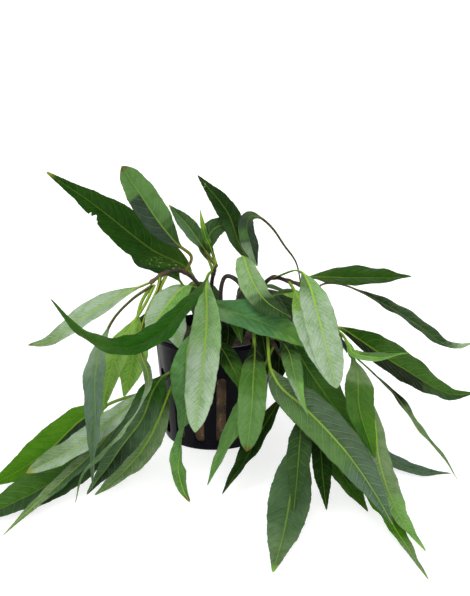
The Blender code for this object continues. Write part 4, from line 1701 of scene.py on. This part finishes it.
LEAVES = (
    LeafPlan(
        "leaf_top_1", "stem_left",
        ((-6, -2, 67), (-12, 7, 77), (-30, 12, 86), (-51, 14, 103), (-75, 12, 121)),
        Slot.DARK, Tone.DEEP, width=22, stalk=0.11, roll=(-30, -45), outline=Outline.TAPERED,
        tip=Tone.STRAW, wet=Drops(0.04, 0.28, -1), tears=(Tear(-1, 0.6, 0.675, 0.42),),
    ),
    LeafPlan(
        "leaf_top_2", "stem_left",
        ((-13, -3, 78), (-10, -2, 85), (-17, -4, 92), (-26, -8, 105), (-39, -12, 127)),
        Slot.GREEN, Tone.MOSS, width=14, stalk=0.22, roll=(-60, -60), heading=(-1, 0),
        outline=Outline.ROUNDED, stalk_tone=Tone.BRONZE, tip=Tone.BRONZE,
        # Painted shadow: the sharp-edged ASH patch on the first half is a shadow, as cast by leaf_top_1.
        stains_and_shade=(StainAndShade(Tone.FERN, 0.0, 0.28, 1, 0.9), StainAndShade(Tone.ASH, 0.0, 0.7, -1, 1.0, 0.02)),
    ),
    LeafPlan(
        "leaf_top_3", "stem_centre",
        ((1, -12, 83), (-4, -6, 89), (-11, 0, 98), (-20, 6, 107)),
        Slot.GREEN, Tone.FERN, width=8, stalk=0.18, roll=(-60, -60), heading=(-1, 0),
        stalk_tone=Tone.BRONZE, tip=Tone.STRAW, brightness=1.15,
        stains_and_shade=(StainAndShade(Tone.FOREST, 0.0, 0.15), StainAndShade(Tone.HERB, 0.15, 1.0, -1)),
    ),
    LeafPlan(
        "leaf_top_4", "stem_right",
        ((22, -3, 71), (15, 3, 83), (11, 4, 91), (6, 6, 104), (-7, 8, 120)),
        Slot.DARK, Tone.FOREST, width=10, stalk=0.2, roll=(-70, -70), heading=(-1, 0),
        wet=Drops(0.84, 0.97),
        stains_and_shade=(StainAndShade(Tone.FERN, 0.0, 0.45, -1, 0.7),),
    ),
    LeafPlan(
        "leaf_top_5", "stem_right",
        (
            (38, -14, 75), (36, -10, 84), (31, -7, 91), (26, -4, 98), (20.5, -2, 102.5),
            (16, -2, 102.5), (15, -3, 97), (17, -4, 90), (19.5, -5, 81),
        ),
        Slot.GREEN, Tone.ASH, width=11, stalk=0.55, roll=(0, -60), heading=(-1, 0),
        stalk_tone=Tone.BARK,
        stains_and_shade=(StainAndShade(Tone.MOSS, 0.36, 0.52, 1, 0.8), StainAndShade(Tone.SILVER, 0.6, 1.0, 1, 0.5)),
    ),
    LeafPlan(
        "leaf_left_1", "stem_left",
        ((-28, -14, 76), (-39, -14, 71), (-56, -14, 61), (-72, -14, 50), (-83, -12, 47)),
        Slot.PALE, Tone.PALE, width=17, stalk=0.06, roll=(-22, -22), stalk_tone=Tone.BRONZE,
        tip=Tone.BARK, wave=0.5,
        stains_and_shade=(StainAndShade(Tone.SAGE, 0.72, 1.0, 0, 0.8),),
    ),
    LeafPlan(
        "leaf_left_2", "stem_left",
        ((-27, -15, 75), (-36, -22, 70), (-43, -40, 65), (-47, -58, 54), (-47, -71, 35), (-48, -79, 9)),
        Slot.GREEN, Tone.SLATE, width=13, stalk=0.34, roll=(0, 50), heading=(-0.3, -1),
        stalk_tone=Tone.BARK,
        stains_and_shade=(StainAndShade(Tone.PALE, 0.0, 0.32, 0, 0.5), StainAndShade(Tone.HERB, 0.6, 1.0, 1, 0.7)),
    ),
    LeafPlan(
        "leaf_left_3", "stem_left",
        ((-26, -14, 75), (-30, -22, 68), (-38, -35, 57), (-43, -48, 46), (-46, -58, 32)),
        Slot.BRIGHT, Tone.OLIVE, width=12, stalk=0.3, heading=(-0.5, -1),
    ),
    LeafPlan(
        "leaf_left_4", "stem_left",
        ((-27, -13, 75), (-32, -17, 67), (-34, -27, 56), (-35, -36, 45), (-38, -43, 34)),
        Slot.BRIGHT, Tone.OLIVE, width=14, stalk=0.3, heading=(-0.3, -1),
    ),
    LeafPlan(
        "leaf_left_5", "stem_centre",
        (
            (1, -13, 84), (-4, -26, 79), (-10, -42, 75), (-22, -58, 66), (-37, -66, 63),
            (-52, -70, 71), (-62, -72, 85),
        ),
        Slot.BRIGHT, Tone.GRASS, width=15, stalk=0.08, roll=(32, -42), heading=(-1, -0.6),
        stains_and_shade=(StainAndShade(Tone.CLOVER, 0.68, 1.0, 0, 0.8),),
    ),
    LeafPlan(
        "leaf_left_6", "stem_left",
        (
            (-23.5, -10, 78.2), (-24.5, -17, 73.5), (-29, -23.5, 65), (-31.5, -33, 56), (-30, -43, 52),
            (-27, -53, 49), (-26, -60, 45), (-29, -68, 39), (-35, -78, 33), (-43, -84, 26),
            (-50, -88, 20), (-53, -92, 10),
        ),
        Slot.GREEN, Tone.SAGE, width=8, stalk=0.34, roll=(0, 90), heading=(-0.4, -1),
        stalk_tone=Tone.BRONZE,
        stains_and_shade=(StainAndShade(Tone.PALE, 0.28, 0.6), StainAndShade(Tone.HERB, 0.64, 1.0, 0, 0.6)),
    ),
    LeafPlan(
        "leaf_middle_1", "stem_left",
        ((-6, -3, 70), (-13, -15, 74), (-21, -28, 68), (-26, -37, 61), (-27, -41, 55)),
        Slot.BRIGHT, Tone.MEADOW, width=14, stalk=0.15, roll=(0, -20), heading=(-0.6, -1),
        stains_and_shade=(StainAndShade(Tone.HERB, 0.0, 0.2, 1, 0.6), StainAndShade(Tone.PALE, 0.2, 1.0, 1, 0.9)),
    ),
    LeafPlan(
        "leaf_middle_2", "stem_left",
        ((-21, -8, 78), (-24, -13, 71), (-21, -20, 64), (-17, -26, 57), (-15, -30, 51)),
        Slot.PALE, Tone.SILVER, width=15, stalk=0.22, heading=(0.1, -1),
    ),
    LeafPlan(
        "leaf_middle_3", "stem_centre",
        ((0, -8, 80), (-3, -17, 78), (-3, -33, 63), (-5, -47, 45), (-8, -58, 24)),
        Slot.PALE, Tone.PALE, width=14, stalk=0.1, roll=(10, 10), heading=(-0.1, -1),
        outline=Outline.ROUNDED, brightness=1.12,
        stains_and_shade=(StainAndShade(Tone.GRASS, 0.0, 0.14, 1, 0.8), StainAndShade(Tone.MEADOW, 0.0, 0.5, 0, 0.6)),
    ),
    LeafPlan(
        "leaf_middle_4", "stem_left_front",
        (
            (-5, -29, 54), (-8.5, -34, 58), (-11, -38.5, 54), (-11.5, -42.5, 44), (-11, -45, 31),
            (-13, -50, 19), (-14.5, -63, 12), (-13, -73, 7), (-10, -80, 4),
        ),
        Slot.GREEN, Tone.MEADOW, width=15, stalk=0.06, roll=(-46, 182), heading=(0, -1),
        outline=Outline.BROAD, tip=Tone.BRONZE,
        stains_and_shade=(StainAndShade(Tone.SEA, 0.0, 0.7, 0, 0.7), StainAndShade(Tone.MOSS, 0.75, 1.0, 0, 0.7)),
    ),
    LeafPlan(
        "leaf_middle_5", "stem_right",
        (
            (19, -1, 63), (14, 0, 72), (12, -5, 82), (13, -12, 87), (15, -18, 82), (19, -27, 75),
            (24, -34, 71), (32, -42, 68),
        ),
        Slot.GREEN, Tone.MIST, width=11.5, stalk=0.3, heading=(0.2, -1), outline=Outline.ROUNDED,
        fold=-0.3,
        stains_and_shade=(StainAndShade(Tone.FERN, 0.6, 1.0),),
    ),
    LeafPlan(
        "leaf_middle_6", "stem_centre",
        (
            (0, 3, 60), (-2, -10, 66), (3, -20, 66), (14, -30, 65), (24, -34, 62), (32, -36, 59),
            (39, -36, 55), (45, -35, 51),
        ),
        Slot.DARK, Tone.SEA, width=16, stalk=0.16, roll=(30, 30), heading=(1, -0.3),
        stains_and_shade=(StainAndShade(Tone.MIST, 0.0, 0.3, 1), StainAndShade(Tone.MEADOW, 0.7, 1.0)),
    ),
    LeafPlan(
        "leaf_middle_7", "stem_right",
        ((27, -7, 76), (35.5, -22, 83), (39, -36, 82), (42, -52, 72), (45, -60, 60), (49, -64, 45)),
        Slot.PALE, Tone.PALE, width=13.5, stalk=0.28, heading=(0.2, -1), outline=Outline.ROUNDED,
        stains_and_shade=(StainAndShade(Tone.MOSS, 0.0, 0.26, 1, 0.9), StainAndShade(Tone.MEADOW, 0.0, 0.3, -1, 0.6)),
    ),
    LeafPlan(
        "leaf_middle_8", "stem_right",
        ((33, -12, 76), (36, -24, 72), (39, -36, 63), (42, -45, 54), (46, -51, 44)),
        Slot.PALE, Tone.SILVER, width=11, stalk=0.12, heading=(0.2, -1),
        stains_and_shade=(StainAndShade(Tone.OLIVE, 0.0, 0.3),),
    ),
    LeafPlan(
        "leaf_right_1", "stem_right",
        ((38, -14, 74.5), (42, -14, 78), (52, -18, 79), (67, -24, 80), (84, -29, 82)),
        Slot.DARK, Tone.LEAF, width=18, stalk=0.06, roll=(14, 14),
    ),
    LeafPlan(
        "leaf_right_2", "stem_right",
        (
            (43, -17, 71), (49, -14, 75), (61, -14, 73), (82, -16, 62), (100, -20, 50), (108, -21, 48),
            (114, -22, 50),
        ),
        Slot.DARK, Tone.FERN, width=13, stalk=0.24, roll=(0, 20), heading=(1, -0.1),
        stalk_tone=Tone.ROSE,
        stains_and_shade=(StainAndShade(Tone.FOREST, 0.0, 0.3, 0, 0.8), StainAndShade(Tone.SILVER, 0.86, 1.0, 0, 0.7)),
    ),
    LeafPlan(
        "leaf_right_3", "stem_right_front",
        (
            (46, -23, 57), (54, -24, 58), (64, -24, 52), (75, -23, 44), (87, -22, 36), (98, -22, 29),
            (106, -23, 26), (115, -24, 27),
        ),
        Slot.GREEN, Tone.CLOVER, width=21, stalk=0.06, roll=(32, 22), heading=(1, 0), brightness=0.85,
        # Painted shade: the PINE patch darkens the second half as if in shade, and the LEAF patch darkens the
        # base of the first half as if shaded.
        stains_and_shade=(
            StainAndShade(Tone.LEAF, 0.0, 0.3, -1), StainAndShade(Tone.PINE, 0.0, 0.7, 1),
            StainAndShade(Tone.FERN, 0.7, 1.0, 1),
        ),
    ),
    LeafPlan(
        "leaf_right_4", "stem_right_front",
        ((59, -30, 48), (68, -36, 41), (79, -42, 30), (87, -48, 19), (95, -56, 11), (100, -63, 4)),
        Slot.PALE, Tone.SAGE, width=11, stalk=0.12, roll=(-35, -35), heading=(1, -0.4), brightness=1.1,
        # Painted shadow: the PINE patch darkens the blade near its stalk as if shaded.
        stains_and_shade=(StainAndShade(Tone.PINE, 0.0, 0.36),),
    ),
    LeafPlan(
        "leaf_right_5", "stem_right_front",
        ((66, -31, 22), (71, -37, 9), (78, -44, 3), (88, -51, 2), (99, -57, 4)),
        Slot.DARK, Tone.SLATE, width=8, stalk=0.14, roll=(10, 10), heading=(1, -0.3), brightness=0.85,
    ),
    LeafPlan(
        "leaf_right_6", "stem_right_front",
        (
            (61, -31, 42), (65, -40, 33), (67, -50, 24), (66.5, -62, 16), (67.5, -77, 10),
            (70, -96, 5), (76, -117, 2),
        ),
        Slot.GREEN, Tone.SAGE, width=12, stalk=0.1, roll=(-30, -12), heading=(0.2, -1), tip=Tone.OLIVE,
        stains_and_shade=(StainAndShade(Tone.MEADOW, 0.62, 1.0, 0, 0.8),),
    ),
    LeafPlan(
        "leaf_right_7", "stem_right_front",
        ((58, -30, 50), (60, -44, 44), (59, -58, 34), (62, -66, 24), (64, -72, 18)),
        Slot.BRIGHT, Tone.CLOVER, width=14, stalk=0.1, roll=(-20, -20), heading=(0.1, -1),
        stains_and_shade=(
            StainAndShade(Tone.SAGE, 0.0, 0.3, 0, 0.9), StainAndShade(Tone.GRASS, 0.66, 1.0, 1, 0.6),
            StainAndShade(Tone.LAWN, 0.6, 1.0, -1, 0.5),
        ),
    ),
    LeafPlan(
        "leaf_right_8", "stem_right_front",
        (
            (30, -17, 59), (33, -23, 55), (36, -29, 49), (41, -36, 41.5), (48, -42, 32.5),
            (55, -45, 24), (63, -48, 15), (70, -52, 6),
        ),
        Slot.DARK, Tone.FERN, width=18, stalk=0.06, heading=(0.6, -1), outline=Outline.TAPERED,
        brightness=1.5,
        stains_and_shade=(StainAndShade(Tone.GRASS, 0.0, 0.36, 0, 0.6), StainAndShade(Tone.LAWN, 0.36, 1.0, 0, 0.45)),
    ),
    LeafPlan(
        "leaf_front_1", "stem_front",
        (
            (23, -29, 56), (23, -36, 53), (23, -42, 49), (24, -48, 46), (28, -54, 41), (38, -64, 35),
            (50, -80, 26), (59, -96, 17), (65, -110, 9),
        ),
        # Painted shade: the grey SMOKE tone is shade painted on the first half and near the stalk; the MOSS
        # patch gives the rest of the second half its green.
        Slot.DARK, Tone.SMOKE, width=17, stalk=0.16, roll=(20, 10), heading=(0.5, -1),
        outline=Outline.BROAD, brightness=1.1,
        stains_and_shade=(StainAndShade(Tone.MOSS, 0.18, 0.68, 1, 0.9), StainAndShade(Tone.SLATE, 0.68, 1.0, 0, 0.5)),
    ),
    LeafPlan(
        "leaf_front_2", "stem_front",
        ((37, -47, 30), (48, -56, 24), (57, -72, 13), (65, -93, 5), (69, -114, 3), (73, -136, 2)),
        Slot.BRIGHT, Tone.SAGE, width=12, stalk=0.12, roll=(-20, -20), heading=(0.3, -1),
        outline=Outline.TAPERED,
        stains_and_shade=(StainAndShade(Tone.LAWN, 0.36, 0.76),),
    ),
    LeafPlan(
        "leaf_front_3", "stem_front",
        ((38, -50, 24), (45, -60, 18), (53, -76, 9), (59, -90, 4)),
        Slot.DARK, Tone.CLOVER, width=10, stalk=0.12, heading=(0.4, -1),
        stains_and_shade=(StainAndShade(Tone.FOREST, 0.3, 0.6, -1, 0.5),),
    ),
    LeafPlan(
        "leaf_front_4", "stem_front",
        ((37, -49, 25), (34, -64, 21), (29, -88, 9), (25, -108, 4), (20, -130, 2)),
        Slot.DARK, Tone.HERB, width=16, stalk=0.1, heading=(-0.1, -1), tip=Tone.OLIVE,
        stains_and_shade=(StainAndShade(Tone.SAGE, 0.7, 1.0, 0, 0.5),),
    ),
    LeafPlan(
        "leaf_front_5", "stem_front",
        ((36, -46, 32), (35, -62, 28), (33, -78, 24), (31, -92, 17), (29, -104, 11)),
        Slot.DARK, Tone.FERN, width=9.5, stalk=0.1, heading=(0, -1),
    ),
    LeafPlan(
        "leaf_front_6", "stem_front",
        ((33, -43, 40), (23, -50, 27), (14, -58, 14), (3, -72, 3)),
        Slot.DARK, Tone.FOREST, width=13, stalk=0.1, roll=(30, 30), heading=(-0.5, -1),
    ),
    LeafPlan(
        "leaf_front_7", "stem_front",
        ((19, -23, 60), (17, -33, 58), (17, -43, 54), (16, -53, 46), (15, -59, 33), (13, -64, 18)),
        Slot.GREEN, Tone.MOSS, width=11.5, stalk=0.24, heading=(-0.1, -1), outline=Outline.ROUNDED,
        tip=Tone.BRONZE, brightness=1.1,
        # Painted shadow: the PINE patch darkens the blade near its stalk as if shaded by the leaves above.
        stains_and_shade=(StainAndShade(Tone.PINE, 0.0, 0.27), StainAndShade(Tone.CLOVER, 0.27, 0.5)),
    ),
    LeafPlan(
        "leaf_front_8", "stem_front",
        ((26, -32, 53), (15, -42, 33), (5, -52, 16), (-3, -64, 3)),
        Slot.GREEN, Tone.MOSS, width=12, stalk=0.1, roll=(30, 30), heading=(-0.5, -1), brightness=1.35,
        stains_and_shade=(StainAndShade(Tone.PINE, 0.0, 0.26, -1),),
    ),
    LeafPlan(
        "leaf_low_1", "stem_left_front",
        ((-31, -42, 35), (-44, -37, 29), (-58, -38, 21), (-69, -45, 12), (-81, -54, 6), (-93, -63, 3)),
        Slot.BRIGHT, Tone.LAWN, width=19, stalk=0.2, roll=(-25, -25), heading=(-1, -0.4),
        # Painted shade: the INK patch darkens the first half as if in shade.
        stains_and_shade=(StainAndShade(Tone.INK, 0.0, 0.66, -1),),
    ),
    LeafPlan(
        "leaf_low_2", "stem_left_front",
        (
            (-24, -40, 39), (-28, -45, 39), (-33, -50, 34.5), (-40, -54, 30), (-49, -60, 24),
            (-61, -66, 18), (-75, -72, 13),
        ),
        Slot.PALE, Tone.PALE, width=14, stalk=0.06, roll=(-10, -10), heading=(-1, -0.5),
        outline=Outline.ROUNDED, tip=Tone.STRAW,
        stains_and_shade=(StainAndShade(Tone.SILVER, 0.0, 0.36), StainAndShade(Tone.SAGE, 0.66, 1.0, 1, 0.9)),
    ),
    LeafPlan(
        "leaf_low_3", "stem_left_front",
        ((-29, -41, 36), (-37, -44, 24), (-49, -52, 13), (-66, -66, 6), (-81, -82, 4), (-93, -95, 4)),
        Slot.DARK, Tone.FERN, width=20, stalk=0.16, roll=(-18, -18), heading=(-1, -0.7),
        stains_and_shade=(StainAndShade(Tone.CLOVER, 0.0, 1.0, 1),),
    ),
    LeafPlan(
        "leaf_low_4", "stem_left_front",
        ((-31, -43, 34), (-40, -51, 25), (-50, -60, 16), (-62, -71, 8), (-72, -86, 4), (-79, -102, 2)),
        Slot.GREEN, Tone.SAGE, width=8, stalk=0.14, heading=(-0.8, -1), outline=Outline.TAPERED,
        stains_and_shade=(StainAndShade(Tone.HERB, 0.2, 0.62, -1),),
    ),
    LeafPlan(
        "leaf_low_5", "stem_left_front",
        (
            (-15, -37, 45), (-19, -37, 34), (-24, -41, 22), (-29, -48, 14), (-35.5, -57, 8.5),
            (-42, -66, 5.5), (-48, -74, 4),
        ),
        Slot.GREEN, Tone.SAGE, width=14, stalk=0.12, heading=(-0.5, -1), brightness=1.12,
        stains_and_shade=(StainAndShade(Tone.FOREST, 0.0, 0.16, 0, 0.8),),
    ),
    LeafPlan(
        "leaf_low_6", "stem_left_front",
        (
            (-18.5, -39.5, 43.5), (-22, -45.5, 43), (-25.5, -53.5, 39.5), (-29.5, -61, 31),
            (-37, -66.5, 22), (-44, -70.5, 13), (-51, -75, 5),
        ),
        Slot.DARK, Tone.HERB, width=13.5, stalk=0.05, heading=(-0.5, -1), outline=Outline.BROAD,
        brightness=0.82,
        # Painted shade: the INK patch darkens the first half towards the tip, as shade among the low leaves.
        stains_and_shade=(StainAndShade(Tone.GRASS, 0.0, 0.26, 0, 0.9), StainAndShade(Tone.INK, 0.55, 1.0, -1)),
    ),
    LeafPlan(
        "leaf_back_1", "stem_back_left",
        ((-12, 19, 62), (-18, 21, 70), (-26, 24, 75), (-34, 27, 76), (-40, 30, 79)),
        Slot.GREEN, Tone.GRASS, width=17, stalk=0.16, roll=(-20, -20), heading=(-1, 0.2),
    ),
    LeafPlan(
        "leaf_back_2", "stem_back_left",
        ((-15, 24, 61), (-19, 36, 61), (-23, 50, 45), (-26, 62, 17)),
        Slot.DARK, Tone.DEEP, width=18, stalk=0.12,
    ),
    LeafPlan(
        "leaf_back_3", "stem_back_left",
        ((-14, 23, 62), (-8, 36, 63), (-5, 55, 48), (-5, 72, 22)),
        Slot.GREEN, Tone.LEAF, width=18, stalk=0.12,
    ),
    LeafPlan(
        "leaf_back_4", "stem_back_left",
        ((-16, 27, 60), (-27, 35, 51), (-37, 42, 33), (-43, 50, 8)),
        Slot.DARK, Tone.DEEP, width=18, stalk=0.12,
    ),
    LeafPlan(
        "leaf_back_5", "stem_back_right",
        ((13, 20, 62), (24, 23, 64), (40, 30, 55), (54, 37, 33)),
        Slot.GREEN, Tone.LEAF, width=20, stalk=0.12,
    ),
    LeafPlan(
        "leaf_back_6", "stem_back_right",
        ((17, 26, 60), (28, 38, 58), (38, 54, 42), (44, 66, 16)),
        Slot.DARK, Tone.DEEP, width=19, stalk=0.12,
    ),
    LeafPlan(
        "leaf_back_7", "stem_back_right",
        ((14, 22, 62), (18, 38, 62), (20, 58, 46), (20, 76, 16)),
        Slot.GREEN, Tone.LEAF, width=17, stalk=0.12,
    ),
    LeafPlan(
        "leaf_back_8", "stem_back_right",
        ((18, 28, 59), (22, 38, 49), (27, 46, 29), (30, 55, 5)),
        Slot.DARK, Tone.DEEP, width=18, stalk=0.12,
    ),
    LeafPlan(
        "leaf_back_9", "stem_right",
        ((19, 0, 61), (33, 4, 66), (48, 8, 58), (63, 12, 34)),
        Slot.GREEN, Tone.LEAF, width=18, stalk=0.12,
    ),
)

YOUNG_LEAVES = (
    LeafPlan(
        "young_1", "stem_centre",
        ((1, -13, 84), (-1, -11, 90), (-4, -9, 97), (-6, -8, 108)),
        Slot.BRIGHT, Tone.LIME, width=3, stalk=0.1, roll=(-60, -60), heading=(-1, 0), tip=Tone.BRONZE,
        brightness=1.25,
        stains_and_shade=(StainAndShade(Tone.LEAF, 0.0, 0.33), StainAndShade(Tone.CLOVER, 0.33, 0.6)),
    ),
    LeafPlan(
        "young_2", "stem_centre",
        ((0, -6, 78), (-3, 0, 88), (0, 4, 96), (10, 8, 99)),
        Slot.DARK, Tone.FERN, width=10, stalk=0.2, roll=(60, 60), heading=(1, 0),
    ),
    LeafPlan(
        "young_3", "stem_right",
        ((41, -16, 73), (36, -19, 71), (30, -20, 72)),
        Slot.BRIGHT, Tone.OLIVE, width=6, stalk=0.1, roll=(-20, -20),
    ),
    LeafPlan(
        "young_4", "stem_right_front",
        ((50, -26, 56), (54, -32, 58), (57, -36, 54), (59, -39, 51), (69, -42, 50), (82, -44, 53)),
        Slot.BRIGHT, Tone.MEADOW, width=8, stalk=0.26, roll=(10, 10),
        stains_and_shade=(StainAndShade(Tone.MOSS, 0.3, 0.8, -1),),
    ),
    LeafPlan(
        "young_5", "stem_front",
        ((24, -30, 55), (28, -36, 56), (31, -45, 54), (32.5, -54, 48), (34.5, -63, 41), (37, -70, 36)),
        Slot.BRIGHT, Tone.MOSS, width=8.5, stalk=0.16, outline=Outline.TAPERED,
        stains_and_shade=(
            # Painted shadow: the FOREST patch darkens the blade near its stalk as if shaded by the leaves
            # above.
            StainAndShade(Tone.FOREST, 0.0, 0.3), StainAndShade(Tone.PALE, 0.6, 1.0, 1, 0.8),
            StainAndShade(Tone.MEADOW, 0.6, 1.0, -1),
        ),
    ),
    LeafPlan(
        "young_6", "stem_front",
        ((38, -50, 24), (42, -66, 23), (42, -84, 15), (42, -98, 9)),
        Slot.DARK, Tone.FOREST, width=8, stalk=0.1,
    ),
    LeafPlan(
        "young_7", "stem_left_front",
        ((-4, -22, 54), (3, -33, 52), (8, -41, 45), (13, -50, 36)),
        Slot.DARK, Tone.CLOVER, width=10, stalk=0.12,
        stains_and_shade=(StainAndShade(Tone.FOREST, 0.0, 0.55),),
    ),
    LeafPlan(
        "young_8", "stem_front",
        ((20, -24, 60), (21, -29, 55), (22, -32, 49), (23, -34, 40)),
        Slot.DARK, Tone.PINE, width=7, stalk=0.1, heading=(0, -1),
    ),
    LeafPlan(
        "young_9", "stem_front",
        ((3, -9, 62), (7, -17, 62), (10, -24, 59), (12, -27, 52)),
        Slot.GREEN, Tone.CLOVER, width=6, stalk=0.1, heading=(0, -1),
    ),
    LeafPlan(
        "young_10", "stem_front",
        ((4, -8, 58), (6, -18, 58), (6, -26, 54), (4, -31, 47)),
        Slot.DARK, Tone.PINE, width=8, stalk=0.1, heading=(0, -1),
    ),
    LeafPlan(
        "young_11", "stem_right_front",
        ((31, -15, 59), (30, -20, 54), (28.5, -24, 45), (28, -27, 33)),
        Slot.DARK, Tone.PINE, width=10, stalk=0.1, heading=(0, -1),
    ),
)


def main() -> None:
    """Builds the plant, its pot and the studio, and reports each piece."""
    logging.basicConfig(level=logging.INFO, format="%(message)s")
    paths = {name: Path.through(points) for name, points in STEMS.items()}
    skin = LeafSkin().make()
    pot = NetPot()
    pieces = [pot.build()]
    pieces += GrowingMedium(pot).build()
    pieces += Stems(paths, LEAVES + YOUNG_LEAVES, StemSkin().make()).build()
    pieces += Foliage(LEAVES, paths, skin).build()
    pieces += Foliage(YOUNG_LEAVES, paths, skin, fused=True).build()
    for piece in pieces:
        LOG.info("%s: %d faces", piece.name, len(piece.data.polygons))
    Studio().build()


if __name__ == "__main__":
    main()
